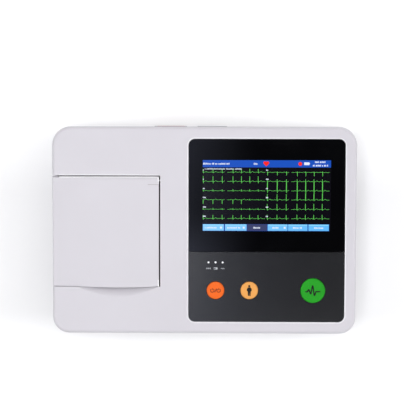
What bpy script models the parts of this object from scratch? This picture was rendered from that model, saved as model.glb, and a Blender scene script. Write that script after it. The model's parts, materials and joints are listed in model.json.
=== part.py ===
"""Portable three-channel ECG recorder, lying on its feet.

X runs to the right of the person at the keys, Y to the rear and Z up. The origin is on the
table, under the middle of the casing. Every dimension is in millimetres; UNIT makes it metres.
"""
import math

import bmesh
import bpy
from mathutils import Matrix, Vector

UNIT = 0.001
GAP = 0.3                     # clearance between two neighbouring pieces

# casing
CASE_X, CASE_Y = 315.0, 215.0
CASE_BOTTOM, SEAM, CASE_TOP = 4.0, 33.0, 76.4
REAR_RADIUS, FRONT_RADIUS = 19.5, 17.0
TOP_FILLET, BOTTOM_FILLET = 3.5, 3.0
WALL = 2.6
LEFT, RIGHT = -CASE_X / 2, CASE_X / 2
FRONT, REAR = -CASE_Y / 2, CASE_Y / 2
FLOOR = CASE_BOTTOM + WALL    # upper side of the casing's floor
BOSS_XY = [(sx * 140.0, sy * 91.0) for sy in (-1, 1) for sx in (-1, 1)]
FOOT_XY = [(sx * 126.0, sy * 84.0) for sy in (-1, 1) for sx in (-1, 1)]

# front panel: glossy glass at the rear, matte key panel at the front
PANEL_X = (-16.0, 145.2)
PANEL_Y = (-94.6, 94.5)
PANEL_SPLIT = -22.0
PANEL_RADIUS = 6.2
PANEL_THICK = 2.0
PANEL_GAP = 0.4
LEDGE = 4.0                   # width of the ledge that carries the panel
LEDGE_DROP = 5.0
KEYS = {                      # name: (x, y, radius)
    "power": (11.9, -62.0, 9.0),
    "patient": (46.9, -62.0, 9.0),
    "print": (112.7, -62.0, 12.7),
}
KEY_TOP = 77.0
KEY_GAP = 0.4
LAMPS = (4.6, 11.9, 19.2)     # x of the three indicator lamps
LAMP_Y, LAMP_RADIUS = -32.9, 0.85
SCREEN_X, SCREEN_Y = (-5.5, 136.5), (-7.0, 80.0)
KEY_BOARD_TOP = 68.5

# paper door, its hinge line and the opening that it closes
DOOR_RIGHT, DOOR_FRONT = -46.9, -58.1
DOOR_PLATE = 2.2
DOOR_SKIRT_Z = 59.5           # lower edge of the door's left side
DOOR_BULGE = 1.4              # how far the front edge swells over the finger dish
BULGE_X = (-131.0, -48.0)
HINGE_RADIUS = 4.4
HINGE_Y, HINGE_Z = 51.9, CASE_TOP - HINGE_RADIUS - 0.03
OPEN_RIGHT, OPEN_FRONT, OPEN_REAR = -45.4, -58.6, 56.9
SLOT_Z = 54.0                 # top of the casing's left wall below the paper slot
CAP_SPLIT_Y = 47.5            # groove across the door's right end, in front of the hinge
CAP_LEFT, CAP_CHAMFER = -58.0, 1.3
DISH_X, DISH_HALF, DISH_REACH, DISH_DEPTH = -89.5, 43.5, 11.5, 8.0
SLOPE_X, SLOPE_DROP = -130.0, 0.9
TRIM = 0.02                   # how far the trimming form stands off the door's own skin

# printer
BAY_X, BAY_Y, BAY_Z = (-151.0, -49.0), 53.3, (13.0, 66.0)
BAY_WALL = 2.8
PLATEN = (-138.0, 60.0)       # x, z of the platen's axis
PLATEN_RADIUS, PLATEN_LENGTH = 7.0, 82.0
SPOOL = (-92.0, 41.0)         # x, z of the paper roll's axis
ROLL_RADIUS, PAPER_WIDTH = 24.0, 80.0
MODULE = 0.8                  # gear tooth module
TEETH = {"platen": 24, "idler": 30, "pinion": 12}
GEAR_Y = (57.2, 61.2)
HEAD_TOP = 52.7
SHELF_TOP = 36.0

# rear panel
REAR_X, REAR_Z = (-60.0, 60.0), (14.0, 58.0)
SWITCH = (-35.8, 36.0)        # x, z of the mains switch's centre
SWITCH_PIVOT_Y = 100.1
ROCKER_TILT = math.radians(8)
INLET = (8.0, 36.0)
LAN = (42.0, 25.0)
STUD = (42.0, 46.0)

# right-hand side
LEAD_Y, LEAD_Z = 22.5, 18.8   # centre of the patient lead socket
USB_Y, USB_Z = 68.0, 18.5
USB_INNER = 141.0                         # inner end of the USB port and the shelf above it

# battery
BATTERY_X, BATTERY_Y = (20.0, 110.0), (-88.0, -28.0)
BATTERY_TOP = 30.0
COVER_REAR = -18.0
COVER_SCREW = (65.0, -22.5)


def clear_scene():
    for old in list(bpy.data.objects):
        bpy.data.objects.remove(old, do_unlink=True)


def new_collection(name):
    group = bpy.data.collections.new(name)
    bpy.context.scene.collection.children.link(group)
    return group


def material(name, colour, roughness, metallic=0.0):
    made = bpy.data.materials.new(name)
    made.use_nodes = True
    shader = made.node_tree.nodes["Principled BSDF"]
    shader.inputs["Base Color"].default_value = (*colour, 1.0)
    shader.inputs["Roughness"].default_value = roughness
    shader.inputs["Metallic"].default_value = metallic
    made.diffuse_color = (*colour, 1.0)
    return made


clear_scene()
PARTS = new_collection("ecg_machine")
TOOLS = new_collection("ecg_machine_cutters")

SHELL = material("shell_plastic", (0.72, 0.70, 0.74), 0.45)
PANEL = material("panel_plastic", (0.035, 0.036, 0.042), 0.40)
GLASS = material("screen_glass", (0.008, 0.008, 0.010), 0.05)
ORANGE = material("orange_key", (0.85, 0.16, 0.03), 0.40)
AMBER = material("amber_key", (0.84, 0.42, 0.12), 0.40)
GREEN = material("green_key", (0.03, 0.35, 0.03), 0.40)
LAMP = material("lamp_plastic", (0.85, 0.85, 0.85), 0.30)
SILICONE = material("silicone", (0.45, 0.45, 0.45), 0.60)
RUBBER = material("rubber", (0.03, 0.03, 0.03), 0.80)
DARK = material("dark_plastic", (0.03, 0.03, 0.035), 0.50)
INNER = material("printer_plastic", (0.10, 0.10, 0.11), 0.50)
RED = material("red_rocker", (0.65, 0.03, 0.03), 0.35)
STEEL = material("steel", (0.55, 0.55, 0.56), 0.35, 1.0)
BRASS = material("brass", (0.75, 0.58, 0.28), 0.30, 1.0)
BOARD = material("circuit_board", (0.02, 0.18, 0.07), 0.45)
GEAR = material("gear_plastic", (0.80, 0.80, 0.76), 0.45)
PAPER = material("paper", (0.85, 0.84, 0.80), 0.80)
BATTERY = material("battery_wrap", (0.05, 0.09, 0.22), 0.40)

TURN = {                      # turns a Z-long primitive to run along the named axis
    "X": Matrix.Rotation(math.pi / 2, 4, "Y"),
    "Y": Matrix.Rotation(-math.pi / 2, 4, "X"),
    "Z": Matrix.Identity(4),
}


def add_block(bm, xs, ys, zs):
    """Add a box between two values on each axis."""
    centre = Vector((sum(xs), sum(ys), sum(zs))) / 2
    size = (xs[1] - xs[0], ys[1] - ys[0], zs[1] - zs[0])
    place = Matrix.Translation(centre) @ Matrix.Diagonal((*size, 1.0))
    return bmesh.ops.create_cube(bm, size=1.0, matrix=place)["verts"]


def add_rod(bm, axis, at, span, radius, segments=24, end_radius=None):
    """Add a cylinder along an axis: at is its place on the two other axes, span its ends."""
    middle = sum(span) / 2
    centre = {"X": (middle, *at), "Y": (at[0], middle, at[1]), "Z": (*at, middle)}[axis]
    place = Matrix.Translation(Vector(centre)) @ TURN[axis]
    far = radius if end_radius is None else end_radius
    bmesh.ops.create_cone(bm, cap_ends=True, segments=segments, radius1=radius, radius2=far,
                          depth=span[1] - span[0], matrix=place)


def blocks(*boxes):
    bm = bmesh.new()
    for box in boxes:
        add_block(bm, *box)
    return bm


def rods(axis, rows, segments=24):
    """A mesh of separate cylinders, each (place, span, radius)."""
    bm = bmesh.new()
    for at, span, radius in rows:
        add_rod(bm, axis, at, span, radius, segments)
    return bm


def mesh_from(bm, name, origin):
    """Turn a bmesh in millimetres into a mesh in metres about the origin."""
    bmesh.ops.translate(bm, verts=bm.verts, vec=-Vector(origin))
    bmesh.ops.scale(bm, verts=bm.verts, vec=(UNIT,) * 3)
    mesh = bpy.data.meshes.new(name)
    bm.to_mesh(mesh)
    bm.free()
    mesh.shade_smooth()
    mesh.set_sharp_from_angle(angle=math.radians(35))
    return mesh


def piece(name, bm, look, origin=(0.0, 0.0, 0.0)):
    """Make one sub-part, with its origin on its joint's axis where it has one."""
    made = bpy.data.objects.new(name, mesh_from(bm, name, origin))
    made.location = Vector(origin) * UNIT
    made.data.materials.append(look)
    PARTS.objects.link(made)
    return made


def copy_piece(source, name, shift):
    """A repeated piece, sharing its mesh."""
    made = bpy.data.objects.new(name, source.data)
    made.location = source.location + Vector(shift) * UNIT
    PARTS.objects.link(made)
    return made


def shape(target, operation, bm, label):
    """Cut, join or intersect a piece with a tool that stays in the cutters' collection."""
    tool_name = f"{target.name}_{label}"
    tool = bpy.data.objects.new(tool_name, mesh_from(bm, tool_name, (0.0, 0.0, 0.0)))
    tool.hide_render = True
    tool.display_type = "WIRE"
    TOOLS.objects.link(tool)
    step = target.modifiers.new(label, "BOOLEAN")
    step.operation = operation
    step.solver = "EXACT"
    step.object = tool


def cut(target, bm, label):
    shape(target, "DIFFERENCE", bm, label)


def join(target, bm, label):
    shape(target, "UNION", bm, label)


def case_block(z_span, fillet_z=None, fillet=0.0, grow=0.0):
    """The casing's rounded outline between two heights, with one edge loop filleted."""
    bm = blocks(((LEFT - grow, RIGHT + grow), (FRONT - grow, REAR + grow), z_span))
    for side, radius in ((1, REAR_RADIUS), (-1, FRONT_RADIUS)):
        upright = [e for e in bm.edges if abs(e.verts[0].co.z - e.verts[1].co.z) > 1.0
                   and all(v.co.y * side > REAR - 0.1 for v in e.verts)]
        bmesh.ops.bevel(bm, geom=upright, offset=radius, segments=8, profile=0.5,
                        affect="EDGES")
    if fillet_z is not None:
        rim = [e for e in bm.edges if all(abs(v.co.z - fillet_z) < 0.01 for v in e.verts)]
        bmesh.ops.bevel(bm, geom=rim, offset=fillet, segments=3, profile=0.5, affect="EDGES")
    return bm


def open_side(bm, z):
    flat = [f for f in bm.faces if all(abs(v.co.z - z) < 0.01 for v in f.verts)]
    bmesh.ops.delete(bm, geom=flat, context="FACES")
    return bm


def thicken(target, thickness):
    solid = target.modifiers.new("wall", "SOLIDIFY")
    solid.thickness = thickness * UNIT
    solid.offset = -1.0
    solid.use_even_offset = True


def rounded_plate(xs, ys, zs, radii, segments=5):
    """A plate whose upright corners are rounded; radii are (front pair, rear pair)."""
    bm = blocks((xs, ys, zs))
    for edge_y, radius in zip(ys, radii):
        if radius:
            corners = [e for e in bm.edges if abs(e.verts[0].co.z - e.verts[1].co.z) > 0.1
                       and all(abs(v.co.y - edge_y) < 0.01 for v in e.verts)]
            bmesh.ops.bevel(bm, geom=corners, offset=radius, segments=segments, profile=0.5,
                            affect="EDGES")
    return bm


def outline_solid(loops, thickness, place):
    """Fill a flat outline, with any holes, and extrude it by half its thickness each way."""
    curve = bpy.data.curves.new("outline", "CURVE")
    curve.dimensions = "2D"
    curve.fill_mode = "BOTH"
    curve.extrude = thickness / 2
    for loop in loops:
        spline = curve.splines.new("POLY")
        spline.points.add(len(loop) - 1)
        for point, (u, v) in zip(spline.points, loop):
            point.co = (u, v, 0.0, 1.0)
        spline.use_cyclic_u = True
    holder = bpy.data.objects.new("outline", curve)
    TOOLS.objects.link(holder)
    ready = bpy.context.evaluated_depsgraph_get()
    flat = bpy.data.meshes.new_from_object(holder.evaluated_get(ready))
    bm = bmesh.new()
    bm.from_mesh(flat)
    bpy.data.objects.remove(holder, do_unlink=True)
    bpy.data.curves.remove(curve)
    bpy.data.meshes.remove(flat)
    bmesh.ops.remove_doubles(bm, verts=bm.verts, dist=0.001)
    bmesh.ops.recalc_face_normals(bm, faces=bm.faces)
    bmesh.ops.transform(bm, matrix=place, verts=bm.verts)
    return bm


def revolve(target, steps):
    """Spin a piece's profile once about its own Z axis."""
    turn = target.modifiers.new("turn", "SCREW")
    turn.steps = steps
    turn.render_steps = steps
    turn.use_merge_vertices = True
    turn.merge_threshold = 0.00001
    turn.use_smooth_shade = True


def turned(name, profile, steps, look, place, origin_axis="Z"):
    """Turn a profile, listed from the top of its outer side down, about an axis."""
    mesh = bpy.data.meshes.new(name)
    points = [(r * UNIT, 0.0, z * UNIT) for r, z in profile]
    mesh.from_pydata(points, [(i, i + 1) for i in range(len(points) - 1)], [])
    made = bpy.data.objects.new(name, mesh)
    made.location = Vector(place) * UNIT
    made.rotation_euler = TURN[origin_axis].to_euler()
    mesh.materials.append(look)
    PARTS.objects.link(made)
    revolve(made, steps)
    return made


def circle(radius, count, centre=(0.0, 0.0)):
    return [(centre[0] + radius * math.cos(math.tau * i / count),
             centre[1] + radius * math.sin(math.tau * i / count)) for i in range(count)]


# ---------------------------------------------------------------- casing

def panel_span(inset):
    """The panel's outline in x and y, grown (negative inset) or shrunk."""
    return ((PANEL_X[0] + inset, PANEL_X[1] - inset), (PANEL_Y[0] + inset, PANEL_Y[1] - inset))


def scoop(half, reach, depth, roof, skin=0.0):
    """The finger dish in front of the paper door: it rolls off from its rim towards the door.

    Its lower face starts at the casing's top, less the skin, and its upper face is the roof.
    """
    bm = bmesh.new()
    across, along = 20, 6
    grids = {"low": [], "high": []}
    for i in range(across + 1):
        u = 0.99 * (2 * i / across - 1)
        swell = 1 - u * u
        for rows in grids.values():
            rows.append([])
        for j in range(along + 1):
            v = j / along
            y = OPEN_FRONT + 0.3 - (reach + 0.3) * swell * (1 - v)
            fall = depth * swell * v ** 1.7
            grids["low"][-1].append(bm.verts.new((DISH_X + half * u, y,
                                                  CASE_TOP + 0.03 - skin - fall)))
            grids["high"][-1].append(bm.verts.new((DISH_X + half * u, y, roof)))
    low, high = grids["low"], grids["high"]
    for rows in (low, high):
        for i in range(across):
            for j in range(along):
                bm.faces.new((rows[i][j], rows[i + 1][j], rows[i + 1][j + 1], rows[i][j + 1]))
    for i in range(across):
        for j in (0, along):
            bm.faces.new((low[i][j], low[i + 1][j], high[i + 1][j], high[i][j]))
    for i in (0, across):
        for j in range(along):
            bm.faces.new((low[i][j], low[i][j + 1], high[i][j + 1], high[i][j]))
    bmesh.ops.recalc_face_normals(bm, faces=bm.faces)
    return bm


def vent_slots(x_span, first_y, count):
    pitch, width, z_span = 7.0, 3.0, (44.0, 60.0)
    return blocks(*[(x_span, (first_y + i * pitch, first_y + i * pitch + width), z_span)
                    for i in range(count)])


def build_top_case():
    z_span = (SEAM + GAP, CASE_TOP)
    top = piece("top_case", open_side(case_block(z_span, CASE_TOP, TOP_FILLET), z_span[0]),
                SHELL)
    thicken(top, WALL)
    px, py = panel_span(-PANEL_GAP - 5.0)
    under = CASE_TOP - LEDGE_DROP
    join(top, blocks((px, py, (under, CASE_TOP - 0.5))), "ledge")
    posts = [((x, y), (SEAM + GAP, CASE_TOP - 1.0), 4.5) for x, y in BOSS_XY]
    join(top, rods("Z", posts, 16), "bosses")
    hangers = [((x, y), (CASE_TOP - 7.9, under + 0.2), 2.6)
               for x in (PANEL_X[0] - 2.0, PANEL_X[1] + 1.5) for y in (0.0, 74.0)]
    join(top, rods("Z", hangers, 12), "screen_hangers")
    join(top, blocks(((OPEN_RIGHT - 0.2, OPEN_RIGHT + 1.8), (OPEN_FRONT - 1.4, 59.0),
                      (62.0, CASE_TOP - 1.0))), "side_collar")
    join(top, blocks(((-150.0, OPEN_RIGHT + 1.0), (OPEN_FRONT - 1.6, OPEN_FRONT + 0.3),
                      (62.0, CASE_TOP - 1.2))), "front_collar")
    join(top, scoop(DISH_HALF + 2.0, DISH_REACH + 1.5, DISH_DEPTH, CASE_TOP - 0.6, 1.6),
         "dish_bowl")
    cut(top, blocks(((LEFT - 1, OPEN_RIGHT), (OPEN_FRONT, OPEN_REAR), (SLOT_Z, 90.0))),
        "door_opening")
    cut(top, scoop(DISH_HALF, DISH_REACH, DISH_DEPTH, CASE_TOP + 3.0), "finger_dish")
    bm = bmesh.new()
    add_rod(bm, "X", (HINGE_Y, HINGE_Z), (OPEN_RIGHT, OPEN_RIGHT + 7.0), 3.6, 20)
    join(top, bm, "hinge_boss")
    bm = bmesh.new()
    add_rod(bm, "X", (HINGE_Y, HINGE_Z), (OPEN_RIGHT - 1, OPEN_RIGHT + 5.5), 1.4, 16)
    cut(top, bm, "hinge_bore")
    wx, wy = panel_span(LEDGE)
    cut(top, rounded_plate(wx, wy, (60.0, 90.0), (3.0, 3.0), 3), "panel_window")
    rx, ry = panel_span(-PANEL_GAP)
    recess = (CASE_TOP - PANEL_THICK - GAP, 90.0)
    cut(top, rounded_plate(rx, ry, recess, (PANEL_RADIUS + PANEL_GAP,) * 2), "panel_recess")
    cut(top, blocks(((REAR_X[0] - 0.4, REAR_X[1] + 0.4), (REAR - 6, REAR + 1),
                     (20.0, REAR_Z[1] + 0.4))), "rear_cutout")
    cut(top, vent_slots((RIGHT - 5, RIGHT + 1), 34.0, 8), "right_vents")
    cut(top, vent_slots((LEFT - 1, LEFT + 5), 64.0, 4), "left_vents")
    pilots = [((x, y), (30.0, 47.0), 1.8) for x, y in BOSS_XY]
    cut(top, rods("Z", pilots, 12), "screw_pilots")


def build_bottom_case():
    z_span = (CASE_BOTTOM, SEAM - GAP)
    base = piece("bottom_case",
                 open_side(case_block(z_span, CASE_BOTTOM, BOTTOM_FILLET), z_span[1]), SHELL)
    thicken(base, WALL)
    low = CASE_BOTTOM + 1.0
    posts = [((x, y), (low, SEAM - GAP), 5.2) for x, y in BOSS_XY]
    join(base, rods("Z", posts, 16), "bosses")
    seats = [((x, y), (low, BAY_Z[0] - GAP), 4.0) for x in (-140.0, -60.0)
             for y in (-42.0, 42.0)]
    join(base, rods("Z", seats, 12), "printer_seats")
    board_seats = [((x, y), (low, 10.7), 3.0) for x in (-32.0, 62.0) for y in (22.0, 70.0)]
    join(base, rods("Z", board_seats, 12), "board_seats")
    bx, by = BATTERY_X, BATTERY_Y
    join(base, blocks(((bx[0] - 2, bx[1] + 2), (by[0] - 2, COVER_REAR + 2),
                       (low, BATTERY_TOP + 2))), "battery_tub")
    cut(base, blocks((bx, by, (0.0, BATTERY_TOP))), "battery_bay")
    cut(base, blocks((bx, (by[0], COVER_REAR), (0.0, CASE_BOTTOM + 2.8))), "cover_recess")
    cut(base, blocks(((bx[0], COVER_SCREW[0] - 8), (by[1] + 2, COVER_REAR), (9.0, 40.0)),
                     ((COVER_SCREW[0] + 8, bx[1]), (by[1] + 2, COVER_REAR), (9.0, 40.0))),
        "tub_pockets")
    cut(base, rods("Z", [(COVER_SCREW, (5.0, 18.0), 1.8)], 12), "cover_screw_pilot")
    cut(base, rods("Z", [((x, y), (0.0, 8.5), 3.4) for x, y in BOSS_XY], 16), "screw_heads")
    cut(base, rods("Z", [((x, y), (5.0, 40.0), 1.9) for x, y in BOSS_XY], 12), "screw_holes")
    cut(base, rods("Z", [((x, y), (0.0, 5.0), 8.3) for x, y in FOOT_XY], 20), "foot_pockets")
    slots = [((-30.0, -4.0), (-87.0 + 4.4 * i, -85.0 + 4.4 * i), (0.0, 12.0))
             for i in range(6)]
    cut(base, blocks(*slots), "speaker_grille")
    cut(base, blocks(((REAR_X[0] - 0.4, REAR_X[1] + 0.4), (REAR - 6, REAR + 1),
                      (REAR_Z[0] - 0.4, 50.0))), "rear_cutout")
    cut(base, blocks(((RIGHT - 6, RIGHT + 1), (LEAD_Y - 20.3, LEAD_Y + 20.3),
                      (LEAD_Z - 6.4, LEAD_Z + 6.4))), "lead_cutout")
    bm = bmesh.new()
    for side in (-1, 1):
        add_rod(bm, "X", (LEAD_Y + side * 24.6, LEAD_Z), (RIGHT - 6, RIGHT + 1), 3.3, 12)
    cut(base, bm, "jackscrew_holes")
    join(base, blocks(((USB_INNER, RIGHT - 1), (USB_Y - 9.0, USB_Y + 9.0),
                       (USB_Z + 4.5, USB_Z + 7.0))), "usb_shelf")
    cut(base, blocks(((RIGHT - 6, RIGHT + 1), (USB_Y - 7.3, USB_Y + 7.3),
                      (USB_Z - 3.9, USB_Z + 3.9))), "usb_cutout")


def screw(name, at, head_z, head_radius, head_height, shank_top, shank_radius):
    """A pan-head screw driven from below, with a slot across its head."""
    bm = bmesh.new()
    add_rod(bm, "Z", at, (head_z, head_z + head_height), head_radius, 16)
    made = piece(name, bm, STEEL, (*at, head_z))
    join(made, rods("Z", [(at, (head_z + 0.5, shank_top), shank_radius)], 12), "shank")
    half = head_radius * 0.7
    for label, (wide, deep) in {"slot": (half, 0.45), "cross": (0.45, half)}.items():
        cut(made, blocks(((at[0] - wide, at[0] + wide), (at[1] - deep, at[1] + deep),
                          (head_z - 1.0, head_z + 0.9))), label)


def build_fasteners_and_feet():
    for number, at in enumerate(BOSS_XY, 1):
        screw(f"case_screw_{number}", at, 5.6, 3.0, 2.4, 45.0, 1.5)
    screw("battery_cover_screw", COVER_SCREW, 4.6, 2.6, 1.2, 16.0, 1.4)
    profile = [(0.0, 4.7), (8.0, 4.7), (8.0, 1.2), (7.2, 0.0), (0.0, 0.0)]
    home = FOOT_XY[0]
    first = turned("foot_1", profile, 20, RUBBER, (*home, 0.0))
    for number, at in enumerate(FOOT_XY[1:], 2):
        made = copy_piece(first, f"foot_{number}", (at[0] - home[0], at[1] - home[1], 0.0))
        revolve(made, 20)


def build_battery():
    bx, by = BATTERY_X, BATTERY_Y
    inner = 0.4
    cover = piece("battery_cover",
                  blocks(((bx[0] + inner, bx[1] - inner), (by[0] + inner, COVER_REAR - inner),
                          (CASE_BOTTOM + 0.4, CASE_BOTTOM + 2.4))), SHELL)
    cut(cover, rods("Z", [(COVER_SCREW, (3.0, 5.8), 2.9)], 16), "screw_head")
    cut(cover, rods("Z", [(COVER_SCREW, (3.0, 9.0), 1.7)], 12), "screw_hole")
    grip = [((x, x + 1.2), (-72.0, -44.0), (3.0, 4.9)) for x in (29.0, 32.0, 35.0)]
    cut(cover, blocks(*grip), "grip_grooves")
    piece("battery_pack", rounded_plate((bx[0] + 1, bx[1] - 1), (by[0] + 1, by[1] - 1),
                                        (CASE_BOTTOM + 3.0, BATTERY_TOP - 0.5), (3.0, 3.0), 3),
          BATTERY)


# ---------------------------------------------------------------- front panel and screen

def build_front_panel():
    z_span = (CASE_TOP - PANEL_THICK, CASE_TOP)
    half = GAP / 2
    glass_y = (PANEL_SPLIT + half, PANEL_Y[1])
    keys_y = (PANEL_Y[0], PANEL_SPLIT - half)
    piece("touch_glass", rounded_plate(PANEL_X, glass_y, z_span, (0.0, PANEL_RADIUS)), GLASS)
    panel = piece("key_panel", rounded_plate(PANEL_X, keys_y, z_span, (PANEL_RADIUS, 0.0)),
                  PANEL)
    through = (60.0, 90.0)
    holes = [((x, y), through, radius + KEY_GAP) for x, y, radius in KEYS.values()]
    cut(panel, rods("Z", holes, 40), "key_holes")
    lamp_holes = [((x, LAMP_Y), through, LAMP_RADIUS + GAP) for x in LAMPS]
    cut(panel, rods("Z", lamp_holes, 12), "lamp_holes")


def build_keys():
    """Round key caps with a flange under the panel, each over a silicone dome."""
    looks = {"power": ORANGE, "patient": AMBER, "print": GREEN}
    flange_top = CASE_TOP - PANEL_THICK - GAP
    for name, (x, y, radius) in KEYS.items():
        wide = radius + 1.5
        profile = [(0.0, KEY_TOP), (radius - 0.6, KEY_TOP), (radius - 0.2, KEY_TOP - 0.15),
                   (radius, KEY_TOP - 0.55), (radius, flange_top), (wide, flange_top),
                   (wide, flange_top - 1.5), (0.0, flange_top - 1.5)]
        turned(f"{name}_key", [(r, z - flange_top) for r, z in profile], 40, looks[name],
               (x, y, flange_top))
        foot, top = KEY_BOARD_TOP + GAP, flange_top - 1.5 - GAP
        dome = [(0.0, top - foot), (3.0, top - foot), (3.6, 1.4), (6.0, 0.8), (6.0, 0.0),
                (0.0, 0.0)]
        turned(f"{name}_dome", dome, 16, SILICONE, (x, y, foot))
    for number, x in enumerate(LAMPS, 1):
        pipe = [(0.0, CASE_TOP), (LAMP_RADIUS, CASE_TOP), (LAMP_RADIUS, flange_top),
                (1.8, flange_top), (1.8, 72.6), (1.1, 72.6), (1.1, KEY_BOARD_TOP + GAP),
                (0.0, KEY_BOARD_TOP + GAP)]
        turned(f"light_pipe_{number}", [(r, z - CASE_TOP) for r, z in pipe], 12, LAMP,
               (x, LAMP_Y, CASE_TOP))


def build_screen_and_boards():
    glass_back = CASE_TOP - PANEL_THICK
    module_z = (68.7, glass_back - GAP)
    module = piece("lcd_module", blocks((SCREEN_X, SCREEN_Y, module_z)), DARK)
    cut(module, blocks(((-2.2, 130.8), (-0.9, 73.5), (module_z[1] - 0.6, 90.0))), "view_area")
    bracket_z = (66.8, 68.3)
    bx, by = (-19.0, 150.0), (-12.0, 86.0)
    bracket = piece("lcd_bracket", blocks((bx, by, bracket_z)), STEEL)
    board_top = 47.6
    stays = [((x, y), (board_top + GAP, bracket_z[0] + 0.2), 3.0) for x in (-6.0, 137.0)
             for y in (-6.0, 80.0)]
    join(bracket, rods("Z", stays, 12), "board_stays")
    cut(bracket, blocks(((25.0, 106.0), (14.0, 60.0), (60.0, 75.0))), "cable_window")
    board = piece("main_board", blocks(((-12.0, 143.0), by, (board_top - 1.6, board_top))),
                  BOARD)
    chips = [((20.0, 48.0), (20.0, 48.0)), ((60.0, 78.0), (24.0, 40.0)),
             ((90.0, 120.0), (40.0, 66.0)), ((92.0, 108.0), (8.0, 22.0))]
    join(board, blocks(*[(x, y, (board_top - 0.3, board_top + 2.2)) for x, y in chips]),
         "chips")
    piece("key_board", blocks(((-9.0, 140.0), (-87.0, -27.0), (KEY_BOARD_TOP - 1.6,
                                                               KEY_BOARD_TOP))), BOARD)
    power = piece("power_board", blocks(((-38.0, 68.0), (16.0, 76.0), (11.0, 12.6))), BOARD)
    join(power, blocks(((-8.0, 26.0), (30.0, 60.0), (12.3, 34.0)),
                       ((34.0, 58.0), (34.0, 54.0), (12.3, 26.0))), "transformers")
    cans = [((x, 66.0), (12.3, 24.0), 5.0) for x in (-24.0, -10.0, 6.0)]
    join(power, rods("Z", cans, 12), "capacitors")
    speaker = [(0.0, 9.2), (9.0, 9.2), (9.0, 4.4), (17.0, 2.6), (18.0, 2.0), (18.0, 0.0),
               (0.0, 0.0)]
    turned("speaker", speaker, 32, DARK, (-17.0, -75.0, FLOOR + GAP))


# ---------------------------------------------------------------- paper door

def door_outline():
    """The door seen from above, with a front edge that swells over the finger dish."""
    x0, x1 = BULGE_X
    half = (x1 - x0) / 2
    radius = (half ** 2 + DOOR_BULGE ** 2) / (2 * DOOR_BULGE)
    sweep = math.asin(half / radius)
    centre = ((x0 + x1) / 2, DOOR_FRONT - DOOR_BULGE + radius)
    arc = []
    for step in range(11):
        angle = -sweep + 2 * sweep * step / 10
        arc.append((centre[0] + radius * math.sin(angle),
                    centre[1] - radius * math.cos(angle)))
    rear = HINGE_Y - 0.4
    return [(LEFT - 1, rear), (LEFT - 1, DOOR_FRONT), *arc, (DOOR_RIGHT, DOOR_FRONT),
            (DOOR_RIGHT, rear)]


def build_paper_door():
    hinge = (0.0, HINGE_Y, HINGE_Z)
    shell = open_side(case_block((SEAM + GAP, CASE_TOP), CASE_TOP, TOP_FILLET), SEAM + GAP)
    door = piece("paper_door", shell, SHELL, hinge)
    thicken(door, DOOR_PLATE)
    tall = 40.0
    place = Matrix.Translation((0.0, 0.0, DOOR_SKIRT_Z + tall / 2))
    shape(door, "INTERSECT", outline_solid([door_outline()], tall, place), "door_region")
    bm = bmesh.new()
    add_rod(bm, "X", (HINGE_Y, HINGE_Z), (LEFT - 1, DOOR_RIGHT), HINGE_RADIUS, 32)
    join(door, bm, "hinge_barrel")
    join(door, blocks(((-142.0, -52.0), (-56.6, -54.8), (68.0, CASE_TOP - 2.0)),
                      ((-49.9, -48.1), (-56.6, 45.0), (69.0, CASE_TOP - 2.0))), "ribs")
    join(door, blocks(((-62.0, -54.0), (-56.5, -54.9), (60.0, 68.5))), "latch_tab")
    join(door, blocks(((-61.5, -54.5), (-57.6, -55.6), (60.3, 61.8))), "latch_lip")
    trim_top = CASE_TOP + TRIM
    shape(door, "INTERSECT", case_block((SEAM, trim_top), trim_top, TOP_FILLET, TRIM),
          "outer_form")
    cut(door, blocks(((CAP_LEFT, DOOR_RIGHT + 1), (CAP_SPLIT_Y - 0.25, CAP_SPLIT_Y + 0.25),
                      (CASE_TOP - 0.4, 90.0))), "cap_groove")
    bevel = blocks(((-CAP_CHAMFER, CAP_CHAMFER), (CAP_SPLIT_Y + 0.2, 60.0),
                    (-CAP_CHAMFER, CAP_CHAMFER)))
    slant = Matrix.Translation((DOOR_RIGHT + 0.5, 0.0, CASE_TOP + 0.3))
    bmesh.ops.transform(bevel, matrix=slant @ Matrix.Rotation(math.pi / 4, 4, "Y"),
                        verts=bevel.verts)
    cut(door, bevel, "cap_chamfer")
    cut(door, blocks(((-153.6, -148.4), (HINGE_Y - 7.0, 60.0), (50.0, HINGE_Z + 2.4))),
        "ear_notch")
    bm = bmesh.new()
    add_rod(bm, "X", (HINGE_Y, HINGE_Z), (-155.9, -142.7), 1.4, 16)
    add_rod(bm, "X", (HINGE_Y, HINGE_Z), (DOOR_RIGHT - 7.3, DOOR_RIGHT + 1), 1.4, 16)
    cut(door, bm, "pin_bores")
    slope = math.atan2(SLOPE_DROP, SLOPE_X - LEFT)
    wedge = blocks(((-60.0, 0.0), (-70.0, 70.0), (0.0, 10.0)))
    tilt = Matrix.Translation((SLOPE_X, 0.0, CASE_TOP)) @ Matrix.Rotation(-slope, 4, "Y")
    bmesh.ops.transform(wedge, matrix=tilt, verts=wedge.verts)
    cut(door, wedge, "left_slope")
    for name, span in {"hinge_pin_left": (-155.6, -143.0),
                       "hinge_pin_right": (DOOR_RIGHT - 7.0, OPEN_RIGHT + 5.2)}.items():
        bm = bmesh.new()
        add_rod(bm, "X", (HINGE_Y, HINGE_Z), span, 1.1, 16)
        piece(name, bm, STEEL, (sum(span) / 2, HINGE_Y, HINGE_Z))
    catch = piece("door_catch", blocks(((-63.0, -53.0), (-60.2, -58.1), (55.0, 61.5))), DARK)
    join(catch, blocks(((-63.0, -53.0), (-58.4, BAY_Y * -1 - GAP), (54.0, 56.5))), "foot")


# ---------------------------------------------------------------- printer

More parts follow.
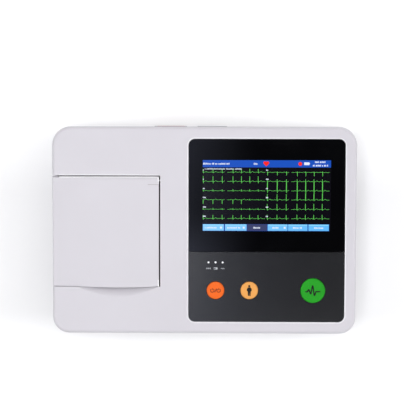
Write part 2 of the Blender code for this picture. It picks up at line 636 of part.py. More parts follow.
def build_paper_bay():
    bx, bz = BAY_X, BAY_Z
    bay = piece("paper_bay", blocks((bx, (-BAY_Y, BAY_Y), bz)), INNER)
    inner_y = BAY_Y - BAY_WALL
    cut(bay, blocks(((bx[0] + BAY_WALL, bx[1] - BAY_WALL), (-inner_y, inner_y),
                     (bz[0] + BAY_WALL, 90.0))), "hollow")
    cut(bay, blocks(((bx[0] - 1, bx[0] + 4), (-46.0, 46.0), (HEAD_TOP - 0.7, 90.0))),
        "paper_exit")
    join(bay, blocks(((bx[0] + 1, -136.0), (-36.0, 36.0), (bz[0] + 1, SHELF_TOP)),
                     ((-128.7, -126.5), (-inner_y - 1, inner_y + 1), (bz[0] + 1, 50.0))),
         "head_shelf")
    ear_x = (-153.0, -149.0)
    half = BAY_WALL / 2
    join(bay, blocks((ear_x, (HINGE_Y - half, HINGE_Y + half), (50.0, HINGE_Z))), "ear_post")
    bm = bmesh.new()
    add_rod(bm, "X", (HINGE_Y, HINGE_Z), ear_x, 2.05, 20)
    join(bay, bm, "ear")
    bm = bmesh.new()
    add_rod(bm, "X", (HINGE_Y, HINGE_Z), (-160.0, -145.0), 1.4, 16)
    cut(bay, bm, "ear_bore")
    wide = (-60.0, 60.0)
    bm = bmesh.new()
    add_rod(bm, "Y", PLATEN, wide, 2.8, 20)
    add_rod(bm, "Y", SPOOL, wide, 3.3, 20)
    cut(bay, bm, "bearings")
    cut(bay, blocks(((SPOOL[0] - 3.3, SPOOL[0] + 3.3), wide, (SPOOL[1], 80.0))),
        "spool_slots")


def gear_outline(teeth, phase):
    """Straight-sided teeth about the pitch circle, four points to a tooth."""
    pitch_radius = MODULE * teeth / 2
    tip, root = pitch_radius + 0.8 * MODULE, pitch_radius - 1.1 * MODULE
    points = []
    for tooth in range(teeth):
        middle = phase + math.tau * tooth / teeth
        for radius, share in ((root, -0.24), (tip, -0.12), (tip, 0.12), (root, 0.24)):
            angle = middle + share * math.tau / teeth
            points.append((radius * math.cos(angle), radius * math.sin(angle)))
    return points


def gear(name, at, teeth, phase, bore, look):
    """A spur gear across Y; its outline's second direction is Z."""
    place = (Matrix.Translation((at[0], sum(GEAR_Y) / 2, at[1]))
             @ Matrix.Rotation(math.pi / 2, 4, "X"))
    loops = [gear_outline(teeth, phase), circle(bore, 16)]
    solid = outline_solid(loops, GEAR_Y[1] - GEAR_Y[0], place)
    return piece(name, solid, look, (at[0], sum(GEAR_Y) / 2, at[1]))


def gear_places():
    """Centres and phases of the three gears, so that their teeth mesh."""
    down_right = math.radians(-45)
    first = MODULE * (TEETH["platen"] + TEETH["idler"]) / 2
    idler = (PLATEN[0] + first * math.cos(down_right), PLATEN[1] + first * math.sin(down_right))
    idler_phase = down_right + math.pi + math.pi / TEETH["idler"]
    onward = math.radians(-34)
    second = MODULE * (TEETH["idler"] + TEETH["pinion"]) / 2
    pinion = (idler[0] + second * math.cos(onward), idler[1] + second * math.sin(onward))
    pitch = math.tau / TEETH["idler"]
    lag = (onward - idler_phase) % pitch
    pinion_phase = (onward + math.pi + math.pi / TEETH["pinion"]
                    + lag * TEETH["idler"] / TEETH["pinion"])
    return {"platen": (PLATEN, down_right), "idler": (idler, idler_phase),
            "pinion": (pinion, pinion_phase)}


def build_drive():
    places = gear_places()
    bores = {"platen": ("platen_gear", 2.8), "idler": ("idler_gear", 2.0),
             "pinion": ("motor_pinion", 1.8)}
    for key, (name, bore) in bores.items():
        at, phase = places[key]
        gear(name, at, TEETH[key], phase, bore, BRASS if key == "pinion" else GEAR)
    idler, pinion = places["idler"][0], places["pinion"][0]
    plate_y = (62.0, 63.5)
    plate = piece("gear_plate", blocks(((-147.0, -88.0), plate_y, (20.0, 67.0))), STEEL)
    posts = [((-143.0, 28.0), (BAY_Y + GAP, plate_y[0] + 0.3), 2.5),
             ((-94.0, 60.0), (BAY_Y + GAP, plate_y[0] + 0.3), 2.5),
             (idler, (GEAR_Y[0] - 0.6, plate_y[0] + 0.3), 1.7)]
    join(plate, rods("Y", posts, 16), "posts")
    cut(plate, rods("Y", [(pinion, (61.0, 65.0), 5.3)], 20), "motor_hole")
    body = (plate_y[1] + GAP, 83.8)
    motor = piece("stepper_motor", rods("Y", [(pinion, body, 17.5)], 40), STEEL,
                  (pinion[0], body[0], pinion[1]))
    join(motor, rods("Y", [(pinion, (plate_y[0] + GAP, body[0] + 0.3), 5.0)], 20), "pilot")
    join(motor, rods("Y", [(pinion, (GEAR_Y[0] - 0.4, plate_y[0] + 0.6), 1.5)], 12), "shaft")


def build_platen_and_head():
    x, z = PLATEN
    half = PLATEN_LENGTH / 2
    shaft = rods("Y", [(PLATEN, (-BAY_Y, GEAR_Y[1] + 0.5), 2.5)], 20)
    piece("platen_shaft", shaft, STEEL, (x, 0.0, z))
    sleeve = outline_solid([circle(PLATEN_RADIUS, 32), circle(2.8, 20)], PLATEN_LENGTH,
                           Matrix.Translation((x, 0.0, z)) @ TURN["Y"])
    piece("platen_roller", sleeve, RUBBER, (x, 0.0, z))
    inner_y = BAY_Y - BAY_WALL - GAP
    head = piece("thermal_head", blocks(((-147.9, -129.0), (-inner_y, inner_y),
                                         (46.0, HEAD_TOP - 1.2))), STEEL)
    join(head, blocks(((-141.5, -134.5), (-half, half), (50.0, HEAD_TOP))), "heater_strip")
    fins = [((-145.5 + 4.0 * i, -143.5 + 4.0 * i), (-20.0, 20.0), (40.0, 48.5))
            for i in range(4)]
    cut(head, blocks(*fins), "fin_grooves")
    for number, y in enumerate((-30.0, 30.0), 1):
        head_spring(f"head_spring_{number}", (-142.0, y))


def head_spring(name, at):
    """A compression spring that presses the thermal head up against the platen."""
    wire, radius, turns, per_turn = 0.45, 2.6, 4, 8
    low, high = SHELF_TOP + GAP + wire, 46.0 - GAP - wire
    curve = bpy.data.curves.new(name, "CURVE")
    curve.dimensions = "3D"
    curve.bevel_depth = wire * UNIT
    curve.bevel_resolution = 1
    curve.use_fill_caps = True
    spline = curve.splines.new("POLY")
    count = turns * per_turn
    spline.points.add(count)
    for step, point in enumerate(spline.points):
        angle = math.tau * step / per_turn
        rise = (high - low) * step / count
        point.co = (radius * math.cos(angle) * UNIT, radius * math.sin(angle) * UNIT,
                    rise * UNIT, 1.0)
    made = bpy.data.objects.new(name, curve)
    made.location = Vector((*at, low)) * UNIT
    curve.materials.append(STEEL)
    PARTS.objects.link(made)


def build_paper():
    place = Matrix.Translation((SPOOL[0], 0.0, SPOOL[1]))
    core, stub = 6.0, 3.0
    roll = outline_solid([circle(ROLL_RADIUS, 48), circle(core + GAP, 32)], PAPER_WIDTH,
                         place @ TURN["Y"])
    piece("paper_roll", roll, PAPER, (SPOOL[0], 0.0, SPOOL[1]))
    half, end = PAPER_WIDTH / 2 + 1.5, BAY_Y - 0.4
    profile = [(0.0, end), (stub, end), (stub, half + 2), (core + 3, half + 2),
               (core + 3, half), (core, half), (core, -half), (stub, -half), (stub, -end),
               (0.0, -end)]
    turned("paper_spindle", profile, 24, DARK, (SPOOL[0], 0.0, SPOOL[1]), "Y")


def build_tear_bar():
    """A thin steel strip with a saw edge, inside the casing's left wall."""
    half, pitch, low, high = 44.0, 4.0, 46.0, SLOT_Z - 0.1
    points = [(half, low), (half, high - 1.2)]
    count = int(2 * half / pitch)
    for tooth in range(count):
        y = half - tooth * pitch
        points += [(y - pitch / 2, high), (y - pitch, high - 1.2)]
    points.append((-half, low))
    place = Matrix.Translation((-154.0, 0.0, 0.0)) @ Matrix(
        ((0, 0, 1, 0), (1, 0, 0, 0), (0, 1, 0, 0), (0, 0, 0, 1)))
    piece("tear_bar", outline_solid([points], 0.8, place), STEEL)


# ---------------------------------------------------------------- rear and side connections

def build_rear_panel():
    face_y, back_y = REAR - 0.4, REAR - WALL - GAP
    panel = piece("rear_panel", blocks((REAR_X, (back_y - 0.1, face_y), REAR_Z)), DARK)
    join(panel, blocks(((REAR_X[0] - 4, REAR_X[1] + 4), (back_y - 2.2, back_y),
                        (REAR_Z[0] - 4, REAR_Z[1] + 4))), "flange")
    join(panel, rods("Y", [(STUD, (93.0, back_y - 1.0), 11.0)], 32), "stud_cup")
    through = (80.0, 120.0)
    sx, sz = SWITCH
    ix, iz = INLET
    lx, lz = LAN
    cut(panel, blocks(((sx - 16.5, sx + 16.5), through, (sz - 10.6, sz + 10.6)),
                      ((ix - 14.3, ix + 14.3), through, (iz - 9.8, iz + 9.8)),
                      ((lx - 8.0, lx + 8.0), through, (lz - 7.0, lz + 7.0))), "ports")
    cut(panel, rods("Y", [(STUD, (95.0, 120.0), 9.0)], 32), "stud_well")
    cut(panel, rods("Y", [(STUD, through, 3.3)], 16), "stud_hole")
    stud = rods("Y", [(STUD, (88.0, REAR - 1.5), 3.0)], 20)
    post = piece("ground_post", stud, BRASS)
    join(post, rods("Y", [(STUD, (88.6, 92.7), 5.0)], 6), "nut")


def socket(name, centre, outer, inner, look, floor_y, bezel=None):
    """A rear socket: a body through the panel with a recess open to the rear."""
    x, z = centre
    body = ((x - outer[0], x + outer[0]), (84.0, REAR), (z - outer[1], z + outer[1]))
    made = piece(name, blocks(body), look)
    if bezel:
        join(made, blocks(((x - bezel[0], x + bezel[0]), (REAR - 0.1, REAR + 1.1),
                           (z - bezel[1], z + bezel[1]))), "bezel")
    cut(made, blocks(((x - inner[0], x + inner[0]), (floor_y, 120.0),
                      (z - inner[1], z + inner[1]))), "recess")
    return made


def build_rear_sockets():
    inlet = socket("mains_inlet", INLET, (14.0, 9.5), (12.2, 7.8), DARK, 92.0, (15.5, 11.0))
    x, z = INLET
    pins = [((x + dx - 1.0, x + dx + 1.0), (91.0, 104.0), (z + dz - 2.0, z + dz + 2.0))
            for dx, dz in ((-7.0, -1.5), (0.0, 1.0), (7.0, -1.5))]
    join(inlet, blocks(*pins), "pins")
    socket("lan_port", LAN, (7.6, 6.6), (6.0, 4.6), STEEL, 94.0)
    socket("switch_frame", SWITCH, (16.2, 10.3), (15.0, 9.3), DARK, 92.0, (17.2, 11.4))
    rocker_outline = [(-3.0, -6.0), (8.0, -7.6), (6.2, 0.0), (8.0, 7.6), (-3.0, 6.0)]
    axes = Matrix(((0, 0, 1, 0), (1, 0, 0, 0), (0, 1, 0, 0), (0, 0, 0, 1)))
    pivot = (SWITCH[0], SWITCH_PIVOT_Y, SWITCH[1])
    solid = outline_solid([rocker_outline], 29.4, Matrix.Translation(pivot) @ axes)
    rocker = piece("mains_rocker", solid, RED, pivot)
    rocker.rotation_euler = (-ROCKER_TILT, 0.0, 0.0)


def build_side_sockets():
    inside = RIGHT - WALL
    face = RIGHT - 0.2
    lead = piece("lead_connector", blocks(((142.0, face), (LEAD_Y - 19.6, LEAD_Y + 19.6),
                                           (LEAD_Z - 5.9, LEAD_Z + 5.9))), STEEL)
    join(lead, blocks(((151.5, inside - GAP), (LEAD_Y - 29.0, LEAD_Y + 29.0),
                       (LEAD_Z - 6.8, LEAD_Z + 6.8))), "flange")
    cut(lead, blocks(((151.0, 170.0), (LEAD_Y - 18.4, LEAD_Y + 18.4),
                      (LEAD_Z - 4.7, LEAD_Z + 4.7))), "recess")
    bm = bmesh.new()
    for side in (-1, 1):
        add_rod(bm, "X", (LEAD_Y + side * 24.6, LEAD_Z), (150.0, 156.0), 1.8, 12)
    cut(lead, bm, "screw_holes")
    for number, side in enumerate((-1, 1), 1):
        at = (LEAD_Y + side * 24.6, LEAD_Z)
        bm = bmesh.new()
        add_rod(bm, "X", at, (inside, face), 2.9, 6)
        stud = piece(f"lead_jackscrew_{number}", bm, STEEL)
        bm = bmesh.new()
        add_rod(bm, "X", at, (147.0, inside + 0.4), 1.4, 12)
        join(stud, bm, "shank")
    usb = piece("usb_port", blocks(((USB_INNER, face), (USB_Y - 7.0, USB_Y + 7.0),
                                    (USB_Z - 3.6, USB_Z + 3.6))), STEEL)
    cut(usb, blocks(((146.0, 170.0), (USB_Y - 6.2, USB_Y + 6.2),
                     (USB_Z - 2.8, USB_Z + 2.8))), "recess")


def main():
    build_top_case()
    build_bottom_case()
    build_fasteners_and_feet()
    build_battery()
    build_front_panel()
    build_keys()
    build_screen_and_boards()
    build_paper_door()
    build_paper_bay()
    build_drive()
    build_platen_and_head()
    build_paper()
    build_tear_bar()
    build_rear_panel()
    build_rear_sockets()
    build_side_sockets()


main()
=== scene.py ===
"""Looks of a portable three-channel ECG recorder, seen from above.

Shapes are drawn in millimetres, and MM turns them into the frame's metres. Distances in
materials and in the studio are in metres.
"""
import json
import math

import bmesh
import bpy
from mathutils import Euler, Matrix, Vector

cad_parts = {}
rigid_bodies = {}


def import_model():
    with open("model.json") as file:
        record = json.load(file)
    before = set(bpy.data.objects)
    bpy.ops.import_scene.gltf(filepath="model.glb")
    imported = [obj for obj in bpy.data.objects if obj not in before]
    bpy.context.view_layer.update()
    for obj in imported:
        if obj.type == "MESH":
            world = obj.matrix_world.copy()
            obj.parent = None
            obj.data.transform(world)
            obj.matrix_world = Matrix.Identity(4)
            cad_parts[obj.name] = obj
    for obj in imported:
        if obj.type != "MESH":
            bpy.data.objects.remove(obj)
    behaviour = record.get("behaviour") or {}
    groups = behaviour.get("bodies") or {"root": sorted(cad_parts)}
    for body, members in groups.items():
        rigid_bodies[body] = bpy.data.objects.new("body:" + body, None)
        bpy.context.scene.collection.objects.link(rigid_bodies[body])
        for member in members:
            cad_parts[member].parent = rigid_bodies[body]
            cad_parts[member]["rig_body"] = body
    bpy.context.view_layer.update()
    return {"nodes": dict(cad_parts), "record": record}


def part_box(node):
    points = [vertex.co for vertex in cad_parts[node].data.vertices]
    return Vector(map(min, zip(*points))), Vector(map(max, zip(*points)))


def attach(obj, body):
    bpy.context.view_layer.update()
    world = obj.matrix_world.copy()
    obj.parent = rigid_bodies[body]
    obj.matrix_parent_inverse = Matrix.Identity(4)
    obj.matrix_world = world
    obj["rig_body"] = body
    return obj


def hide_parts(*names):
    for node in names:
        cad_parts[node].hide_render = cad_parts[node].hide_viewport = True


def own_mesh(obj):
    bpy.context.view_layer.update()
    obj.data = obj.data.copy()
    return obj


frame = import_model()
SLOT_OF = {row["node"]: row["material_slot"] for row in frame["record"]["subparts"]}
JOINTS = {joint["name"]: joint for joint in frame["record"]["behaviour"]["joints"]}
MM = 0.001


def span(node):
    """A node's lowest and highest corner in millimetres."""
    low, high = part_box(node)
    return Vector(low) / MM, Vector(high) / MM


# ---------------------------------------------------------------- places read from the frame

PANEL_LOW, PANEL_HIGH = span("key_panel")
GLASS_HIGH = span("touch_glass")[1]
MODULE_LOW = span("lcd_module")[0]
DOOR_LOW, DOOR_HIGH = span("paper_door")
SURFACE = GLASS_HIGH.z                      # upper face of the front panel

# Front left corner of the display's lit area, inwards from the display module's corner.
SCREEN_AT = Vector((MODULE_LOW.x + 4.0, MODULE_LOW.y + 6.8, SURFACE))
SCREEN_WIDE, SCREEN_DEEP = 131.9, 73.1
PANEL_CORNER = 6.2                          # radius of the front panel's corners
KEY_SINK = 0.06                             # room for the print on top of a key


# ---------------------------------------------------------------- shader nodes

def feed(tree, socket, value):
    """Give a node's input another node's output, or a plain value."""
    if isinstance(value, bpy.types.NodeSocket):
        tree.links.new(value, socket)
    else:
        socket.default_value = value


def maths(tree, operation, *values):
    made = tree.nodes.new("ShaderNodeMath")
    made.operation = operation
    for socket, value in zip(made.inputs, values):
        feed(tree, socket, value)
    return made.outputs["Value"]


def ramp(tree, value, start, end, low, high, shape="SMOOTHSTEP"):
    """Map start to end onto low to high, held at both ends."""
    made = tree.nodes.new("ShaderNodeMapRange")
    made.interpolation_type = shape
    for key, number in (("From Min", start), ("From Max", end), ("To Min", low),
                        ("To Max", high)):
        made.inputs[key].default_value = number
    tree.links.new(value, made.inputs["Value"])
    return made.outputs["Result"]


def mixed(tree, factor, one, two):
    """A colour between two others."""
    made = tree.nodes.new("ShaderNodeMix")
    made.data_type = "RGBA"
    for key, value in (("Factor", factor), ("A", one), ("B", two)):
        feed(tree, made.inputs[key], value)
    return made.outputs["Result"]


# ---------------------------------------------------------------- materials

NOISE_LOW, NOISE_HIGH = 0.3, 0.7    # a noise texture's values seldom lie outside these
CLOUDS, SMUDGES = 9.0, 60.0         # unevenness of colour and of gloss, in patches per metre
STREAKS = 400.0                     # the same for the drawn grain of metal
PIXELS = 2000.0                     # the same for a lit patch of the display
CHART_INK = (0.86, 0.30, 0.28, 1.0)
CHART_GRID = ((0.001, 0.00012, 0.45), (0.005, 0.0003, 0.8))     # spacing, line width, strength


class Look:
    """A Principled material with helpers for its procedural detail."""

    def __init__(self, name, colour, roughness, metallic=0.0):
        self.material = bpy.data.materials.new(name)
        self.material.use_nodes = True
        self.tree = self.material.node_tree
        self.shader = self.tree.nodes["Principled BSDF"]
        self.colour = (*colour, 1.0)
        self.set("Base Color", self.colour)
        self.set("Roughness", roughness)
        self.set("Metallic", metallic)

    def set(self, socket, value):
        """Give an input of the shader a plain value or another node's output."""
        feed(self.tree, self.shader.inputs[socket], value)
        return self

    def coordinates(self, stretch=(1.0, 1.0, 1.0)):
        """Object coordinates in metres, stretched per axis."""
        place = self.tree.nodes.new("ShaderNodeTexCoord")
        scaled = self.tree.nodes.new("ShaderNodeMapping")
        scaled.inputs["Scale"].default_value = stretch
        self.tree.links.new(place.outputs["Object"], scaled.inputs["Vector"])
        return scaled.outputs["Vector"]

    def axes(self):
        """Object coordinates in metres, as separate X, Y and Z."""
        split = self.tree.nodes.new("ShaderNodeSeparateXYZ")
        self.tree.links.new(self.coordinates(), split.inputs["Vector"])
        return split.outputs

    def noise(self, per_metre, detail=2.0, stretch=(1.0, 1.0, 1.0)):
        made = self.tree.nodes.new("ShaderNodeTexNoise")
        made.inputs["Scale"].default_value = per_metre
        made.inputs["Detail"].default_value = detail
        self.tree.links.new(self.coordinates(stretch), made.inputs["Vector"])
        return made.outputs["Fac"]

    def spread(self, noise, low, high):
        """Map a noise value onto a range."""
        return ramp(self.tree, noise, NOISE_LOW, NOISE_HIGH, low, high, "LINEAR")

    def tint(self, noise, low, high):
        """Vary the colour between two multiples of itself."""
        dark, light = [(*(min(c * multiple, 1.0) for c in self.colour[:3]), 1.0)
                       for multiple in (low, high)]
        return self.set("Base Color",
                        mixed(self.tree, self.spread(noise, 0.0, 1.0), dark, light))

    def uneven(self, noise, low, high):
        """Vary the roughness."""
        return self.set("Roughness", self.spread(noise, low, high))

    def bump(self, noise, height):
        made = self.tree.nodes.new("ShaderNodeBump")
        made.inputs["Distance"].default_value = height
        self.tree.links.new(noise, made.inputs["Height"])
        return self.set("Normal", made.outputs["Normal"])


def moulded(name, colour, roughness, grain=900.0, height=0.00002, variation=0.02, gloss=0.04):
    """Moulded plastic: fine spark texture, slight unevenness of colour and gloss."""
    look = Look(name, colour, roughness)
    look.tint(look.noise(CLOUDS, 3.0), 1.0 - variation, 1.0 + variation)
    look.uneven(look.noise(SMUDGES, 3.0), roughness - gloss, roughness + gloss)
    look.bump(look.noise(grain), height)
    return look


def metal(name, colour, roughness, stretch=(1.0, 1.0, 1.0)):
    look = Look(name, colour, roughness, 1.0)
    streak = look.noise(STREAKS, 3.0, stretch)
    look.tint(streak, 0.9, 1.06)
    look.uneven(streak, roughness - 0.08, roughness + 0.1)
    return look


def lit(name, colour, strength):
    """A patch of the display: coloured light behind a glossy front."""
    look = Look(name, tuple(c * 0.2 for c in colour), 0.12)
    look.tint(look.noise(PIXELS, 1.0), 0.96, 1.04)
    look.set("Emission Color", (*colour, 1.0))
    look.set("Emission Strength", strength)
    return look


def printed(name, colour):
    """Matt ink on the panel or on a key."""
    look = moulded(name, colour, 0.5, 1200.0, 0.00001, 0.05)
    return look.set("Specular IOR Level", 0.1)


def grid_lines(tree, place, spacing, width):
    """1 on thin lines a spacing apart along a coordinate in metres, 0 between them."""
    part = maths(tree, "FRACT", maths(tree, "DIVIDE", place, spacing))
    return maths(tree, "LESS_THAN", part, width / spacing)


def chart_paper():
    """Thermal paper with a 1 mm and 5 mm grid printed round the roll."""
    look = moulded("chart_paper", (0.86, 0.85, 0.82), 0.8, 1500.0, 0.00003, 0.03)
    tree, axes = look.tree, look.axes()
    low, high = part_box("paper_roll")
    up = maths(tree, "SUBTRACT", axes["Z"], (low[2] + high[2]) / 2)
    across = maths(tree, "SUBTRACT", axes["X"], (low[0] + high[0]) / 2)
    around = maths(tree, "MULTIPLY", maths(tree, "ARCTAN2", up, across), (high[2] - low[2]) / 2)
    paper = look.shader.inputs["Base Color"].links[0].from_socket
    for spacing, width, strength in CHART_GRID:
        lines = maths(tree, "MAXIMUM", grid_lines(tree, axes["Y"], spacing, width),
                      grid_lines(tree, around, spacing, width))
        paper = mixed(tree, maths(tree, "MULTIPLY", lines, strength), paper, CHART_INK)
    return look.set("Base Color", paper)


def make_looks():
    """A look for each of the record's material slots, and for the pieces made here."""
    looks = {
        "shell": moulded("shell_plastic", (0.538, 0.520, 0.558), 0.42),
        "panel": moulded("panel_film", (0.0060, 0.0062, 0.0072), 0.21, 700.0, 0.000004, 0.02,
                         0.006),
        "screen_glass": Look("black_glass", (0.0010, 0.0010, 0.0012), 0.06),
        "display": moulded("display_module", (0.02, 0.02, 0.03), 0.3),
        "orange_key": moulded("orange_key", (0.76, 0.120, 0.006), 0.5),
        "amber_key": moulded("amber_key", (0.72, 0.320, 0.075), 0.5),
        "green_key": moulded("green_key", (0.006, 0.275, 0.005), 0.5),
        "lamp": moulded("lamp_lens", (0.85, 0.87, 0.88), 0.2),
        "silicone": moulded("silicone", (0.50, 0.50, 0.50), 0.6),
        "rubber": moulded("rubber", (0.035, 0.035, 0.037), 0.75, 500.0, 0.00006, 0.1),
        "dark_plastic": moulded("dark_plastic", (0.035, 0.036, 0.040), 0.5, 800.0, 0.00004),
        "printer_plastic": moulded("printer_plastic", (0.085, 0.088, 0.095), 0.5),
        # painted highlights: paler than the shell, where edges would catch the light
        "painted_highlight": moulded("painted_highlight", (0.72, 0.71, 0.74), 0.3),
        "painted_strong_highlight": moulded("painted_strong_highlight", (0.95, 0.94, 0.96), 0.25),
        # painted shade: a grey strip for a groove's shade, and dark strips in the door's gaps
        "groove": moulded("groove", (0.36, 0.34, 0.35), 0.8),
        "gap_shade": moulded("gap_shade", (0.012, 0.009, 0.009), 0.9, 500.0, 0.0001, 0.15),
        "red_rocker": moulded("red_rocker", (0.62, 0.028, 0.025), 0.25),
        "steel": metal("steel", (0.58, 0.58, 0.59), 0.32, (1.0, 8.0, 1.0)),
        "brass": metal("brass", (0.78, 0.60, 0.30), 0.28),
        "circuit_board": moulded("circuit_board", (0.015, 0.16, 0.06), 0.4),
        "gear_plastic": moulded("gear_plastic", (0.80, 0.80, 0.75), 0.45),
        "paper": chart_paper(),
        "battery_wrap": moulded("battery_wrap", (0.05, 0.09, 0.22), 0.35),
    }
    for key in ("orange_key", "amber_key", "green_key"):
        looks[key].set("Specular IOR Level", 0.2)
    glass = looks["screen_glass"]
    glass.uneven(glass.noise(25.0, 2.0), 0.05, 0.09)
    return looks


LOOKS = make_looks()


# ---------------------------------------------------------------- building pieces

PIECE_SMOOTH, SKIN_SMOOTH = 35.0, 32.0      # edges that turn less, in degrees, are shaded smooth
WELD = 0.000002                             # points of a CAD mesh this close, in metres, are one
FLAT_WITHIN = 0.5                           # faces that turn less, in degrees, become one
BEVEL_OVER = 50.0                           # edges that turn more, in degrees, are softened


def add_object(name, bm, look, body, smooth=PIECE_SMOOTH):
    """A piece in millimetres, made metres, riding on a body."""
    bmesh.ops.scale(bm, verts=bm.verts, vec=(MM, MM, MM))
    mesh = bpy.data.meshes.new(name)
    bm.to_mesh(mesh)
    bm.free()
    mesh.shade_smooth()
    mesh.set_sharp_from_angle(angle=math.radians(smooth))
    mesh.materials.append(look.material)
    made = bpy.data.objects.new(name, mesh)
    bpy.context.scene.collection.objects.link(made)
    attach(made, body)
    return made


def body_of(node):
    """The body that a CAD node rides on."""
    return frame["nodes"][node]["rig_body"]


def skin(node, bevel=0.0):
    """A finer copy of a CAD node: welded, smooth over its curves, with softened edges."""
    bm = bmesh.new()
    bm.from_mesh(frame["nodes"][node].data)
    bmesh.ops.remove_doubles(bm, verts=bm.verts, dist=WELD)
    bmesh.ops.dissolve_limit(bm, angle_limit=math.radians(FLAT_WITHIN), verts=bm.verts,
                             edges=bm.edges)
    bmesh.ops.scale(bm, verts=bm.verts, vec=(1 / MM,) * 3)
    slot = SLOT_OF[node]
    made = add_object(f"{node}_skin", bm, LOOKS[slot], body_of(node), SKIN_SMOOTH)
    if bevel:
        edges = made.modifiers.new("soft_edges", "BEVEL")
        edges.width = bevel * MM
        edges.segments = 2
        edges.limit_method = "ANGLE"
        edges.angle_limit = math.radians(BEVEL_OVER)
        edges.use_clamp_overlap = True
    even = made.modifiers.new("even_normals", "WEIGHTED_NORMAL")
    even.weight = 100
    even.keep_sharp = True
    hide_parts(node)
    return made


def springy_skin(node):
    """A dome or a spring: a finer copy with a mesh of its own."""
    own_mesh(skin(node))


KEYS = ("power", "patient", "print")
HEAD_SPRINGS = (1, 2)
SOFT_EDGES = {                              # width of the bevel on each node's sharp edges
    "top_case": 0.25, "bottom_case": 0.25, "paper_door": 0.25, "battery_cover": 0.3,
    "key_panel": 0.2, "touch_glass": 0.2, "rear_panel": 0.3, "switch_frame": 0.3,
    "mains_rocker": 0.5, "mains_inlet": 0.3, "paper_bay": 0.3,
}
ROUND_NODES = (
    "paper_roll", "paper_spindle", "platen_roller", "platen_shaft", "platen_gear", "idler_gear",
    "motor_pinion", "foot_1", "foot_2", "foot_3", "foot_4", "ground_post", "stepper_motor",
    "light_pipe_1", "light_pipe_2", "light_pipe_3", "speaker", "hinge_pin_left",
    "hinge_pin_right",
)


def dress_cad_nodes():
    """Every CAD node takes its slot's look; the ones on show get a finer skin."""
    for name, node in frame["nodes"].items():
        node.data.materials.clear()
        node.data.materials.append(LOOKS[SLOT_OF[name]].material)
    for node, bevel in SOFT_EDGES.items():
        skin(node, bevel)
    for key in KEYS:
        for vert in skin(f"{key}_key").data.vertices:
            vert.co.z -= KEY_SINK * MM
    for node in ROUND_NODES:
        skin(node)
    for key in KEYS:
        springy_skin(f"{key}_dome")
    for number in HEAD_SPRINGS:
        springy_skin(f"head_spring_{number}")


# ---------------------------------------------------------------- helpers for drawing in a mesh

MITRE_SLANT, MITRE_REACH = 0.35, 2.2        # limits of a stroke's mitre at its sharpest corners


def block(bm, low, high):
    """A closed box between two corners."""
    made = bmesh.ops.create_cube(bm, size=1.0)["verts"]
    low, high = Vector(low), Vector(high)
    bmesh.ops.scale(bm, verts=made, vec=high - low)
    bmesh.ops.translate(bm, verts=made, vec=(low + high) / 2)


def band(bm, stations):
    """Faces between neighbouring rows of points."""
    rows = [[bm.verts.new(point) for point in row] for row in stations]
    for one, two in zip(rows, rows[1:]):
        for i in range(len(one) - 1):
            bm.faces.new((one[i], one[i + 1], two[i + 1], two[i]))


def flat(bm, points, z):
    """Add one flat polygon facing up."""
    bm.faces.new([bm.verts.new((x, y, z)) for x, y in points])


def bar(bm, x0, x1, y0, y1, z):
    flat(bm, [(x0, y0), (x1, y0), (x1, y1), (x0, y1)], z)


def disc(bm, x, y, radius, z, count=24):
    flat(bm, [(x + radius * math.cos(math.tau * i / count),
               y + radius * math.sin(math.tau * i / count)) for i in range(count)], z)


def stroke(bm, points, width, z):
    """A flat line of even width through the points, mitred at its corners."""
    sides = []
    for i, here in enumerate(points):
        before = Vector(points[max(i - 1, 0)])
        after = Vector(points[min(i + 1, len(points) - 1)])
        here = Vector(here)
        one = (here - before).normalized() if i else (after - here).normalized()
        two = (after - here).normalized() if i < len(points) - 1 else one
        along = (one + two).normalized() if (one + two).length > 0.01 else one
        across = Vector((-along.y, along.x))
        slant = max(abs(across.dot(Vector((-one.y, one.x)))), MITRE_SLANT)
        reach = across * width / 2 * min(1.0 / slant, MITRE_REACH)
        sides.append((here + reach, here - reach))
    verts = [[bm.verts.new((side.x, side.y, z)) for side in pair] for pair in sides]
    for (a, b), (c, d) in zip(verts, verts[1:]):
        bm.faces.new((b, d, c, a))


def arc(x, y, radius, start, end, steps=16):
    """Points along an arc, its ends in degrees."""
    return [(x + radius * math.cos(math.radians(start + (end - start) * i / steps)),
             y + radius * math.sin(math.radians(start + (end - start) * i / steps)))
            for i in range(steps + 1)]


def words(bm, x0, x1, y, height, z, seed):
    """A row of small blocks of uneven width, standing for a line of small print."""
    x, step = x0, seed
    while x < x1 - 0.5:
        step = (step * 37 + 11) % 101
        wide = 0.55 + 0.5 * (step % 5) / 4
        tall = height * (0.75 + 0.25 * (step % 3) / 2)
        bar(bm, x, min(x + wide, x1), y - height / 2, y - height / 2 + tall, z)
        x += wide + (1.1 if step % 7 == 0 else 0.35)


def face_up(bm):
    """Turn every face's front upwards."""
    bmesh.ops.recalc_face_normals(bm, faces=bm.faces)
    down = [face for face in bm.faces if face.normal.z < 0]
    if down:
        bmesh.ops.reverse_faces(bm, faces=down)


# ---------------------------------------------------------------- edges of the casing, with painted highlights and painted shade in its gaps

WINDOW_SECTION = (           # chamfer round the front panel: outwards from the panel, above it
    (0.45, -0.35), (0.45, 0.0), (0.75, 0.06), (1.35, 0.06), (1.55, 0.0), (1.55, -0.35))
CORNER_STEPS = 8
SIDE_GAP_SHADE = (0.2, 1.45)      # painted shade in the gap beside the door: from the door's right side, outwards
REAR_GAP_SHADE = (0.15, 0.55)     # painted shade in the gap behind the door: from the door's rear, backwards
LIFT = 0.03                  # painted highlight strips lie this far outside the faces that they cover
BARREL_HIGHLIGHT_ARC = range(36, 65, 4)      # painted highlight on the hinge barrel, in degrees from the top
DOOR_SIDE = DOOR_HIGH.x + 0.01       # just outside the door's right side
CAP_FRONT = DOOR_HIGH.y - 8.8      # groove in front of the door's rear right corner
CAP_CHAMFER = 1.04           # chamfer of that corner, which a painted highlight covers
CAP_STEPS, CAP_STEP = 11, 0.75     # rows of points along it, and their spacing
GROOVE_LONG, GROOVE_HALF = 11.5, 0.3     # length and half width of the groove's painted shade
